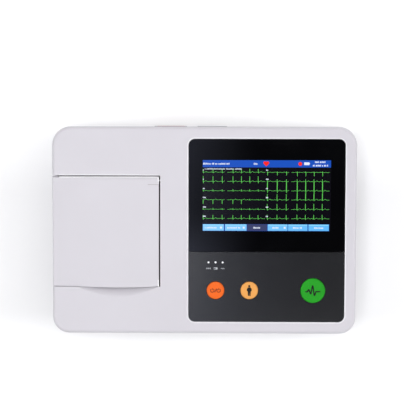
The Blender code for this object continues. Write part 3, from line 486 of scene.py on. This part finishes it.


def rounded_outline(low, high, radius, out):
    """Points round a rectangle with round corners, pushed outwards."""
    points = []
    for x, y, start in ((high.x, high.y, 0), (low.x, high.y, 90), (low.x, low.y, 180),
                        (high.x, low.y, 270)):
        x -= math.copysign(radius, x - (low.x + high.x) / 2)
        y -= math.copysign(radius, y - (low.y + high.y) / 2)
        points += arc(x, y, radius + out, start, start + 90, CORNER_STEPS)
    return points


def build_window_edge_highlight():
    """The chamfer of the casing round the front panel, coloured lighter than the shell: a painted
    highlight.
    """
    bm = bmesh.new()
    rings = [[bm.verts.new((x, y, SURFACE + rise))
              for x, y in rounded_outline(PANEL_LOW, GLASS_HIGH, PANEL_CORNER, out)]
             for out, rise in WINDOW_SECTION]
    count = len(rings[0])
    for one, two in zip(rings, rings[1:] + rings[:1]):
        for i in range(count):
            j = (i + 1) % count
            bm.faces.new((one[i], one[j], two[j], two[i]))
    bmesh.ops.recalc_face_normals(bm, faces=bm.faces)
    add_object("window_edge_highlight", bm, LOOKS["painted_highlight"], "housing")


def build_door_gap_shade():
    """Dark strips down in the gaps at the right and the rear of the paper door: painted shade in
    the gaps.
    """
    low, high = DOOR_LOW, DOOR_HIGH
    bm = bmesh.new()
    block(bm, (high.x + SIDE_GAP_SHADE[0], low.y + 1.0, high.z - 6.0),
          (high.x + SIDE_GAP_SHADE[1], high.y - 9.0, high.z - 1.6))
    block(bm, (low.x + 8.0, high.y + REAR_GAP_SHADE[0], high.z - 5.0),
          (high.x, high.y + REAR_GAP_SHADE[1], high.z - 2.0))
    add_object("door_gap_shade", bm, LOOKS["gap_shade"], "housing")


def build_door_highlights():
    """Painted highlights on the paper door's edges: pale strips along its hinge barrel and at
    both right corners.
    """
    low, high = DOOR_LOW, DOOR_HIGH
    axis = Vector(JOINTS["paper_door_hinge"]["pos_m"]) / MM
    radius = high.z - axis.z + LIFT
    bm = bmesh.new()
    band(bm, [[(x, axis.y + radius * math.sin(math.radians(turn)),
                axis.z + radius * math.cos(math.radians(turn))) for turn in BARREL_HIGHLIGHT_ARC]
              for x in (low.x + 7.5, high.x - 1.2)])
    rows = []
    for i in range(CAP_STEPS):
        y = CAP_FRONT + 0.5 + CAP_STEP * i
        top = axis.z + math.sqrt(radius ** 2 - max(y - axis.y, 0.0) ** 2)
        chamfer = max(top - (high.z + LIFT - CAP_CHAMFER), 0.0)
        rows.append([(DOOR_SIDE - CAP_CHAMFER, y, top), (DOOR_SIDE - chamfer, y, top),
                     (DOOR_SIDE, y, top - chamfer)])
    band(bm, rows)
    bmesh.ops.remove_doubles(bm, verts=bm.verts, dist=0.001)
    bar(bm, DOOR_SIDE - 0.95, DOOR_SIDE - 0.1, low.y + 1.0, low.y + 8.2, high.z + LIFT)
    face_up(bm)
    add_object("door_painted_highlights", bm, LOOKS["painted_strong_highlight"], "paper_door")


def build_door_groove_shade():
    """A grey strip over the groove in front of the door's rear right corner: painted shade of the
    groove.
    """
    bm = bmesh.new()
    bar(bm, DOOR_SIDE - GROOVE_LONG, DOOR_SIDE - CAP_CHAMFER, CAP_FRONT - GROOVE_HALF,
        CAP_FRONT + GROOVE_HALF, DOOR_HIGH.z + 0.02)
    add_object("door_cap_groove_shade", bm, LOOKS["groove"], "paper_door")


def build_casing_highlight():
    """A painted highlight: a pale strip along the casing's edge behind the door."""
    low, high = DOOR_LOW, DOOR_HIGH
    bm = bmesh.new()
    bar(bm, low.x + 7.0, high.x + 1.0, high.y + 0.75, high.y + 1.45, high.z + LIFT)
    add_object("casing_painted_highlight", bm, LOOKS["painted_highlight"], "housing")


# ---------------------------------------------------------------- flat printed or lit marks

def marks(name, build, look, body, at, turn=Matrix.Identity(4)):
    """One piece made of many flat marks, drawn facing up, then turned and moved to a point."""
    bm = bmesh.new()
    build(bm)
    face_up(bm)
    bmesh.ops.transform(bm, verts=bm.verts, matrix=Matrix.Translation(at) @ turn)
    add_object(name, bm, look, body)


# ---------------------------------------------------------------- display
# Drawn in millimetres from the front left corner of the lit area.

BACK_Z, KEY_ROW_Z, STATUS_Z, PICTURE_Z, EDGE_Z, TEXT_Z = 0.02, 0.03, 0.04, 0.05, 0.06, 0.07
STATUS_DEEP = 7.4                               # depth of the status bar, at the rear
ROWS = (60.6, 51.1, 41.5, 32.2, 22.4, 12.8)     # baselines of the six traces, rear to front
COLUMN = 66.1                                   # where the second column of traces starts
SWEEPS = (                                      # start, end and beats of each sweep
    (0.0, 22.6, (0.4, 10.5, 20.0)),
    (25.2, 64.4, (31.1, 39.8, 48.4, 57.1)),
)
LEADS = {                    # (column, row): spike up and down in each of the two sweeps
    (0, 0): ((3.3, 0.8), (3.3, 0.8)),
    (0, 1): ((5.4, 1.6), (5.4, 1.6)),
    (0, 2): ((1.5, 0.5), (1.5, 0.5)),
    (0, 3): ((-4.2, 0.0), (-4.2, 0.0)),
    (0, 4): ((1.2, 0.3), (1.1, 0.4)),
    (0, 5): ((3.6, 0.9), (3.6, 0.8)),
    (1, 0): ((0.9, 3.0), (0.9, 3.8)),
    (1, 1): ((2.4, 11.5), (2.4, 19.5)),
    (1, 2): ((9.6, 1.0), (10.5, 9.0)),
    (1, 3): ((5.8, 1.0), (6.4, 0.8)),
    (1, 4): ((5.6, 1.0), (5.8, 0.9)),
    (1, 5): ((3.9, 1.0), (3.9, 0.9)),
}
SPIKE = 0.16                 # width of the flat tip of a beat's spike
WAVE_BEFORE = (0.45, -2.0, 0.5)      # height, place from the spike and width of the first wave
WAVE_AFTER = (2.9, 0.8)      # place and width of the second wave
FAINT = 1.6                  # a lead with smaller spikes than this is faint
AFTER_FAINT, AFTER_STRONG = 0.3, 0.9     # height of the second wave in faint and other leads
TRACE_STEP = 0.2             # spacing of a trace's points
TRACE_WIDTH = 0.27
QUIET_LEAD = (0, 3)          # in its second sweep this lead goes flat,
QUIET_BEATS = 2              # after so many beats
QUIET_AFTER = 4.0            # and so far behind the last of them,
QUIET_SPIKE = (0.6, 0.2)     # apart from spikes of this size
KEY_COLUMNS = ((0.2, 21.8), (23.1, 45.3), (45.9, 66.5), (67.2, 87.6), (88.2, 108.2),
               (109.2, 130.2))                  # left and right end of each soft key
KEY_TEXT_INSETS = ((2.0, 7.6), (2.4, 6.6), (6.4, 6.6), (4.6, 9.4), (5.0, 5.0), (6.0, 5.4))
KEYS_WITH_MARK = (0, 1, 3)                      # soft keys with a small block at their right
KEY_FRONT, KEY_REAR = 0.3, 6.9
KEY_TEXT_Y, KEY_TEXT_TALL = 3.4, 1.7
SELECTED = 2                                    # the dark soft key
STATUS_TEXT = (              # left and right end, middle, height and seed of each row of blocks
    (2.6, 27.5, 69.4, 1.7, 7),
    (52.5, 56.2, 69.4, 1.9, 5),
    (2.1, 40.2, 64.1, 1.2, 3),
    (115.4, 127.3, 71.3, 1.7, 9),
    (113.3, 128.8, 67.7, 1.8, 13),
)
LEAD_NAME_WIDE = (1.4, 1.4, 1.8, 3.2, 3.2, 3.2)     # one for each row of traces
LEAD_NAME_RISE, LEAD_NAME_TALL = 2.4, 1.3


def wave(x, height, place, width):
    """A smooth hump."""
    return height * math.exp(-((x - place) / width) ** 2)


def trace(start, end, beats, spike, base):
    """Points along a sweep: low waves evenly stepped, and each beat's two flat-topped spikes."""
    up, down = spike
    after = AFTER_FAINT if abs(up) < FAINT else AFTER_STRONG
    count = int((end - start) / TRACE_STEP)
    points = []
    for x in (start + (end - start) * i / count for i in range(count + 1)):
        near = min(beats, key=lambda b: abs(x - b))
        if not -1.5 * SPIKE < x - near < 3.5 * SPIKE:
            rise = wave(x - near, *WAVE_BEFORE) + wave(x - near, after, *WAVE_AFTER)
            points.append((x, base + rise))
    for b in beats:
        points += [(b + SPIKE * across, base + height) for across, height in (
            (-1.0, 0.0), (-0.5, up), (0.5, up), (1.0, -down), (2.0, -down), (2.5, 0.0))]
    return sorted(points)


def build_traces(bm):
    for (column, row), spikes in LEADS.items():
        for (start, end, beats), spike in zip(SWEEPS, spikes):
            runs = [(start, end, beats, spike)]
            if (column, row) == QUIET_LEAD and start > 0.0:
                still = beats[QUIET_BEATS - 1] + QUIET_AFTER
                runs = [(start, still, beats[:QUIET_BEATS], spike),
                        (still, end, beats[QUIET_BEATS:], QUIET_SPIKE)]
            for run in runs:
                points = trace(*run, ROWS[row])
                stroke(bm, [(x + COLUMN * column, y) for x, y in points], TRACE_WIDTH,
                       PICTURE_Z)


def build_status_text(bm):
    """A small mark and rows of print in the status bar, and a battery."""
    bar(bm, 0.5, 1.9, 68.4, 70.4, TEXT_Z)
    for x0, x1, y, height, seed in STATUS_TEXT:
        words(bm, x0, x1, y, height, TEXT_Z, seed)
    bar(bm, 104.3, 109.6, 68.2, 71.0, TEXT_Z)
    bar(bm, 109.6, 110.2, 69.0, 70.2, TEXT_Z)


def build_lead_names(bm):
    for row, (base, wide) in enumerate(zip(ROWS, LEAD_NAME_WIDE)):
        y = base + LEAD_NAME_RISE
        words(bm, 0.2, 0.2 + wide, y, LEAD_NAME_TALL, TEXT_Z, row + 2)
        words(bm, COLUMN - 0.9, COLUMN + 1.7, y, LEAD_NAME_TALL, TEXT_Z, row + 4)


def build_key_text(bm):
    for number, ((x0, x1), (left, right)) in enumerate(zip(KEY_COLUMNS, KEY_TEXT_INSETS)):
        words(bm, x0 + left, x1 - right, KEY_TEXT_Y, KEY_TEXT_TALL, TEXT_Z, number + 3)
        if number in KEYS_WITH_MARK:
            bar(bm, x1 - 3.9, x1 - 1.9, 2.5, 4.4, TEXT_Z)


def build_screen_text(bm):
    build_status_text(bm)
    build_lead_names(bm)
    build_key_text(bm)


def build_soft_keys(bm):
    for number, (x0, x1) in enumerate(KEY_COLUMNS):
        if number != SELECTED:
            bar(bm, x0, x1, KEY_FRONT, KEY_REAR, PICTURE_Z)


def build_key_edges(bm):
    """A lighter upper edge on each soft key."""
    for number, (x0, x1) in enumerate(KEY_COLUMNS):
        if number != SELECTED:
            bar(bm, x0 + 0.3, x1 - 0.3, KEY_REAR - 1.0, KEY_REAR - 0.3, EDGE_Z)


def heart(x, y, size):
    """A plain heart outline from two arcs and a point."""
    r = size * 0.27
    right = arc(x + r * 0.95, y + size * 0.15, r, 150, -35, 12)
    left = arc(x - r * 0.95, y + size * 0.15, r, 215, 30, 12)
    return right + [(x, y - size * 0.5)] + left


def soft_key_look():
    """Soft keys: paler at the left of the display than at the right."""
    look = lit("display_soft_key", (0.11, 0.46, 0.86), 1.0)
    across = ramp(look.tree, look.axes()["X"], SCREEN_AT.x * MM,
                  (SCREEN_AT.x + SCREEN_WIDE) * MM, 0.0, 1.0, "LINEAR")
    fade = mixed(look.tree, across, (0.235, 0.52, 0.80, 1.0), (0.095, 0.385, 0.77, 1.0))
    return look.set("Emission Color", fade)


def build_display():
    wide, deep = SCREEN_WIDE, SCREEN_DEEP

    def layer(name, build, look):
        marks(name, build, look, "housing", SCREEN_AT)

    layer("display_background", lambda bm: bar(bm, 0.0, wide, 0.0, deep, BACK_Z),
          lit("display_background", (0.0022, 0.0018, 0.0040), 1.0))
    layer("display_status_bar", lambda bm: bar(bm, 0.0, wide, deep - STATUS_DEEP, deep, STATUS_Z),
          lit("display_blue", (0.009, 0.068, 0.42), 1.0))
    layer("display_key_row", lambda bm: bar(bm, 0.0, wide - 1.4, 0.0, KEY_REAR + 0.2, KEY_ROW_Z),
          lit("display_key_row", (0.010, 0.050, 0.30), 1.0))
    layer("display_soft_keys", build_soft_keys, soft_key_look())
    layer("display_key_edges", build_key_edges,
          lit("display_key_edge", (0.26, 0.66, 0.95), 1.0))
    layer("display_selected_key",
          lambda bm: bar(bm, *KEY_COLUMNS[SELECTED], KEY_FRONT, KEY_REAR, PICTURE_Z),
          lit("display_selected_key", (0.038, 0.046, 0.122), 1.0))
    layer("display_traces", build_traces, lit("display_green", (0.12, 0.58, 0.095), 1.0))
    layer("display_text", build_screen_text, lit("display_white", (0.72, 0.78, 0.90), 0.9))
    layer("display_heart", lambda bm: flat(bm, heart(65.3, 69.6, 5.6), TEXT_Z),
          lit("display_red", (0.86, 0.02, 0.01), 1.0))
    layer("display_record_dot", lambda bm: disc(bm, 100.3, 69.4, 1.9, TEXT_Z),
          lit("display_red_dot", (0.90, 0.03, 0.01), 1.0))


# ---------------------------------------------------------------- prints on the panel and keys

PRINT_Z, GLOW_Z = 0.03, 0.04                 # above the panel's or the key's face
ICON_DROP = 6.3                              # from a lamp forwards to its symbol
LAMP_GLOW = 0.88                             # radius of a lamp's bright middle


def top_middle(node):
    """The middle of a node's upper face."""
    low, high = span(node)
    return Vector(((low.x + high.x) / 2, (low.y + high.y) / 2, high.z))


def build_battery_icon(bm):
    stroke(bm, [(-1.6, -0.9), (1.7, -0.9), (1.7, 0.9), (-1.6, 0.9), (-1.6, -0.9)], 0.35, PRINT_Z)
    bar(bm, 0.0, 1.6, -0.8, 0.8, PRINT_Z)
    bar(bm, 1.8, 2.3, -0.45, 0.45, PRINT_Z)


def build_mains_icon(bm):
    for shift in (-1.6, 0.2, 2.0):
        stroke(bm, arc(shift, 0.0, 0.62, 60, 300, 10), 0.32, PRINT_Z)
    bar(bm, -2.4, 2.2, -0.14, 0.14, PRINT_Z)


def build_wave_icon(bm):
    wave = [(-1.9 + 0.25 * i, 0.45 * math.sin(0.85 * i)) for i in range(16)]
    stroke(bm, wave, 0.3, PRINT_Z)


def build_power_icon(bm):
    for x in (-3.3, 3.3):
        stroke(bm, arc(x, -0.1, 1.8, 125, 415, 22), 0.85, PRINT_Z)
        stroke(bm, [(x, 0.2), (x, 2.4)], 0.8, PRINT_Z)
    stroke(bm, [(-0.9, -1.9), (1.2, 1.7)], 1.0, PRINT_Z)


def build_person_icon(bm):
    disc(bm, 0.0, 4.6, 1.15, PRINT_Z)
    half = ((0.0, 3.3), (1.4, 3.2), (2.5, 1.7), (2.5, -0.6), (1.6, -0.9), (1.3, -5.7),
            (0.2, -5.7), (0.0, -2.0))
    flat(bm, list(half) + [(-x, y) for x, y in reversed(half[1:-1])], PRINT_Z)


def build_pulse_icon(bm):
    """A heartbeat with blunt tips."""
    stroke(bm, [(-7.8, -1.1), (-5.7, -1.1), (-4.6, 0.9), (-4.0, 0.9), (-2.5, -3.0), (-1.9, -3.0),
                (-0.5, 4.9), (0.1, 4.9), (1.4, -4.6), (2.0, -4.6), (3.2, -0.9), (7.9, -0.9)],
           1.35, PRINT_Z)


def build_prints():
    white = printed("white_print", (0.50, 0.52, 0.55))
    icons = (build_mains_icon, build_battery_icon, build_wave_icon)
    glow = lit("lamp_glow", (0.95, 0.97, 1.0), 1.3)
    for number, icon in enumerate(icons, 1):
        lamp = top_middle(f"light_pipe_{number}")
        marks(f"lamp_{number}_icon", icon, white, "housing",
              Vector((lamp.x, lamp.y - ICON_DROP, PANEL_HIGH.z)))
        marks(f"lamp_{number}_glow", lambda bm: disc(bm, 0.0, 0.0, LAMP_GLOW, GLOW_Z, 20),
              glow, "housing", Vector((lamp.x, lamp.y, PANEL_HIGH.z)))
    black = printed("black_print", (0.010, 0.010, 0.010))
    brown = printed("brown_print", (0.20, 0.030, 0.012))
    for key, icon, look, slot in (("power", build_power_icon, brown, "orange_key"),
                                  ("patient", build_person_icon, black, "amber_key"),
                                  ("print", build_pulse_icon, black, "green_key")):
        top = top_middle(f"{key}_key") - Vector((0.0, 0.0, KEY_SINK))
        marks(f"{key}_icon", icon, look, f"{key}_key", top)


# ---------------------------------------------------------------- sockets and mains switch

# Each socket's depth, half the size of its mouth and the spacing of its contacts.
LEAD_DEPTH, LEAD_HALF, LEAD_PITCH = 6.3, (18.2, 4.5), 2.76
USB_DEPTH, USB_HALF, USB_PITCH = 11.3, (6.0, 2.6), 2.3
LAN_DEPTH, LAN_HALF, LAN_PITCH = 13.5, (5.8, 4.4), 1.02
LEAD_PIN_ROWS = ((1.45, 8), (-1.45, 7))      # height from the middle and count of each row
LEAD_PIN_FOOT, LEAD_PIN_TIP, LEAD_PIN_LONG = 0.5, 0.42, 4.4     # radii and length
CLEAR = 0.02                                 # room between a piece and the face behind it
ROCKER_HOLLOW = math.atan2(1.8, 7.6)         # how far each half of the rocker leans inwards
ROCKER_LEAN = math.radians(8)                # how far the rocker is tipped at rest
ROCKER_FACE = (7.1, 3.8)                     # middle of a half: out from the pivot, off centre
ROCKER_PRINT_Z = 0.06


def centre_of(node):
    """The middle of a node's box."""
    low, high = span(node)
    return (low + high) / 2


def build_lead_contacts():
    """A dark insulating floor with two rows of pins in the patient lead socket."""
    face = span("lead_connector")[1].x
    centre = centre_of("lead_connector")
    floor = face - LEAD_DEPTH
    wide, tall = LEAD_HALF
    bm = bmesh.new()
    block(bm, (floor + CLEAR, centre.y - wide, centre.z - tall),
          (floor + 0.6, centre.y + wide, centre.z + tall))
    add_object("lead_insulator", bm, LOOKS["dark_plastic"], "housing")
    bm = bmesh.new()
    along_x = Matrix.Rotation(math.pi / 2, 4, "Y")
    for row, count in LEAD_PIN_ROWS:
        for i in range(count):
            y = centre.y + LEAD_PITCH * (i - (count - 1) / 2)
            at = Vector((floor + 2.6, y, centre.z + row))
            bmesh.ops.create_cone(bm, cap_ends=True, segments=12, radius1=LEAD_PIN_FOOT,
                                  radius2=LEAD_PIN_TIP, depth=LEAD_PIN_LONG,
                                  matrix=Matrix.Translation(at) @ along_x)
    add_object("lead_pins", bm, LOOKS["brass"], "housing")


def build_usb_tongue():
    """The floor of the USB port, and its tongue with four contacts."""
    centre = centre_of("usb_port")
    face = span("usb_port")[1].x
    floor = face - USB_DEPTH
    wide, tall = USB_HALF
    bm = bmesh.new()
    block(bm, (floor + CLEAR, centre.y - wide, centre.z - tall),
          (floor + 0.4, centre.y + wide, centre.z + tall))
    block(bm, (floor + 0.4 + CLEAR, centre.y - wide + 0.6, centre.z + 0.1),
          (face - 1.2, centre.y + wide - 0.6, centre.z + 1.7))
    add_object("usb_tongue", bm, LOOKS["dark_plastic"], "housing")
    bm = bmesh.new()
    for i in range(4):
        y = centre.y + USB_PITCH * (i - 1.5)
        block(bm, (floor + 2.0, y - 0.5, centre.z - 0.06), (face - 1.8, y + 0.5, centre.z + 0.08))
    add_object("usb_contacts", bm, LOOKS["brass"], "housing")


def build_lan_contacts():
    """The floor and two guide rails of the network socket, and its eight contacts."""
    centre = centre_of("lan_port")
    face = span("lan_port")[1].y
    floor = face - LAN_DEPTH
    wide, tall = LAN_HALF
    bm = bmesh.new()
    block(bm, (centre.x - wide, floor + CLEAR, centre.z - tall),
          (centre.x + wide, floor + 0.5, centre.z + tall))
    for side in (-1, 1):
        rail = centre.x + side * (wide - 1.2)
        block(bm, (rail - 1.2, floor + 0.5 + CLEAR, centre.z - tall),
              (rail + 1.2, face - 1.5, centre.z - tall + 1.6))
    add_object("lan_insulator", bm, LOOKS["dark_plastic"], "housing")
    bm = bmesh.new()
    for i in range(8):
        x = centre.x + LAN_PITCH * (i - 3.5)
        block(bm, (x - 0.2, floor + 0.6, centre.z + tall - 1.1),
              (x + 0.2, face - 3.0, centre.z + tall - 0.7))
    add_object("lan_contacts", bm, LOOKS["brass"], "housing")


def build_rocker_marks():
    """A bar on the upper half of the mains switch and a ring on the lower half."""
    pivot = Vector(JOINTS["mains_rocker_tilt"]["pos_m"]) / MM
    lean = Matrix.Rotation(-ROCKER_LEAN, 4, "X")
    out, off = ROCKER_FACE
    ink = printed("rocker_print", (0.80, 0.80, 0.80))
    for name, side, draw in (
            ("rocker_bar", 1, lambda bm: bar(bm, -0.35, 0.35, -2.2, 2.2, ROCKER_PRINT_Z)),
            ("rocker_ring", -1,
             lambda bm: stroke(bm, arc(0.0, 0.0, 1.8, 0, 360, 28), 0.6, ROCKER_PRINT_Z))):
        facing = Matrix.Rotation(-math.pi / 2 - side * ROCKER_HOLLOW, 4, "X")
        at = pivot + lean @ Vector((0.0, out, side * off))
        marks(name, draw, ink, "mains_rocker", at, lean @ facing)


def build_connections():
    build_lead_contacts()
    build_usb_tongue()
    build_lan_contacts()
    build_rocker_marks()


# ---------------------------------------------------------------- studio

CAMERA_AT = (0.0151, 0.0793, 1.0890)
CAMERA_TURN = (-3.153, 0.639, 0.138)         # degrees about X, Y and Z
FLOOR_SIZE = 3.6
PALER_FROM, PALER_TO = 0.095, 0.135          # the floor turns paler, in front and behind: painted light on the object's shadow there
REAR_GLOW_FROM, REAR_GLOW_TO = 0.03, 0.10    # the floor starts to glow, behind the middle: painted light on the object's shadow there
EDGE_GLOW_FROM = 0.7                         # the same, out from the middle
OVERHEAD_FROM, OVERHEAD_TO = 0.93, 0.975     # height in the world's sphere of its dark patch
LIGHTS = (                   # name, place, width and depth in metres, power in watts
    ("light_left", (-1.3, 0.10, 1.4), (1.0, 0.8), 6.9),
    ("light_right", (1.3, 0.10, 1.3), (1.0, 0.8), 9.0),
    ("light_front", (0.0, -0.8, 1.95), (1.6, 0.4), 4.9),
    ("light_rear", (0.0, 0.8, 1.9), (1.6, 0.4), 3.1),
    ("light_above_left", (-0.34, -0.05, 1.75), (0.5, 0.24), 4.9),
    ("light_above_right", (0.85, -0.1, 1.75), (0.9, 0.3), 3.1),
    ("light_above_rear", (0.0, 0.38, 1.8), (1.2, 0.2), 3.7),
)


def build_camera():
    camera = bpy.data.objects.new("camera", bpy.data.cameras.new("camera"))
    camera.data.lens = 85.0
    camera.data.sensor_width = 36.0
    camera.location = CAMERA_AT
    camera.rotation_euler = Euler([math.radians(a) for a in CAMERA_TURN])
    bpy.context.scene.collection.objects.link(camera)
    bpy.context.scene.camera = camera


def floor_look():
    """A pale floor, paler in front of and behind the object, that glows a little behind it
    and towards its far edges. The paler bands and the glow behind it are painted light on the
    object's shadow."""
    look = Look("floor", (0.86, 0.86, 0.864), 0.9)
    tree, axes = look.tree, look.axes()
    away = ramp(tree, maths(tree, "ABSOLUTE", axes["Y"]), PALER_FROM, PALER_TO, 0.0, 1.0)
    look.set("Base Color", mixed(tree, away, look.colour, (0.96, 0.96, 0.96, 1.0)))
    distance = tree.nodes.new("ShaderNodeVectorMath")
    distance.operation = "LENGTH"
    tree.links.new(look.coordinates(), distance.inputs[0])
    edge_glow = ramp(tree, distance.outputs["Value"], EDGE_GLOW_FROM, FLOOR_SIZE / 2, 0.0, 0.3)
    rear_glow = ramp(tree, axes["Y"], REAR_GLOW_FROM, REAR_GLOW_TO, 0.0, 0.12)
    look.set("Emission Color", (1.0, 1.0, 1.0, 1.0))
    return look.set("Emission Strength", maths(tree, "ADD", edge_glow, rear_glow))


def build_floor():
    bm = bmesh.new()
    bmesh.ops.create_grid(bm, x_segments=8, y_segments=8, size=FLOOR_SIZE / 2)
    mesh = bpy.data.meshes.new("floor")
    bm.to_mesh(mesh)
    bm.free()
    mesh.materials.append(floor_look().material)
    floor = bpy.data.objects.new("floor", mesh)
    bpy.context.scene.collection.objects.link(floor)


def build_world():
    """A pale studio: bright low walls, a dim ceiling, and a dark patch straight overhead that
    the glossy front mirrors, with a cool window at its left and a brighter one at its front."""
    world = bpy.data.worlds.new("studio")
    bpy.context.scene.world = world
    world.use_nodes = True
    tree = world.node_tree
    place = tree.nodes.new("ShaderNodeTexCoord")
    split = tree.nodes.new("ShaderNodeSeparateXYZ")
    tree.links.new(place.outputs["Generated"], split.inputs["Vector"])
    x, y, z = (split.outputs[axis] for axis in "XYZ")

    def product(one, two):
        return maths(tree, "MULTIPLY", one, two)

    walls = product(ramp(tree, z, 0.05, 0.42, 0.95, 0.42),
                    ramp(tree, z, OVERHEAD_FROM, OVERHEAD_TO, 1.0, 0.0))
    overhead = ramp(tree, z, OVERHEAD_FROM, OVERHEAD_TO, 0.0, 1.0)
    # The windows' strength fades across x and y.
    left = product(ramp(tree, x, -0.06, 0.04, 0.46, 0.02), ramp(tree, y, -0.06, 0.01, 0.7, 1.1))
    front = product(ramp(tree, x, -0.08, 0.04, 1.1, 0.0), ramp(tree, y, -0.13, -0.05, 1.0, 0.0))
    mirrored = product(overhead, maths(tree, "ADD", left, front))
    background = tree.nodes["Background"]
    feed(tree, background.inputs["Strength"], maths(tree, "ADD", walls, mirrored))
    feed(tree, background.inputs["Color"],
         mixed(tree, overhead, (1.0, 1.0, 1.0, 1.0), (0.88, 0.96, 1.35, 1.0)))


def build_lights():
    """Softboxes aimed at the middle of the scene."""
    for name, at, size, power in LIGHTS:
        light = bpy.data.lights.new(name, "AREA")
        light.shape = "RECTANGLE"
        light.size, light.size_y = size
        light.energy = power
        made = bpy.data.objects.new(name, light)
        made.location = at
        made.rotation_euler = (-Vector(at)).to_track_quat("-Z", "Y").to_euler()
        bpy.context.scene.collection.objects.link(made)


def build_studio():
    build_camera()
    build_floor()
    build_world()
    build_lights()
    bpy.context.scene.view_settings.view_transform = "Standard"
    bpy.context.scene.view_settings.look = "None"


dress_cad_nodes()
build_window_edge_highlight()
build_door_gap_shade()
build_door_highlights()
build_door_groove_shade()
build_casing_highlight()
build_display()
build_prints()
build_connections()
build_studio()
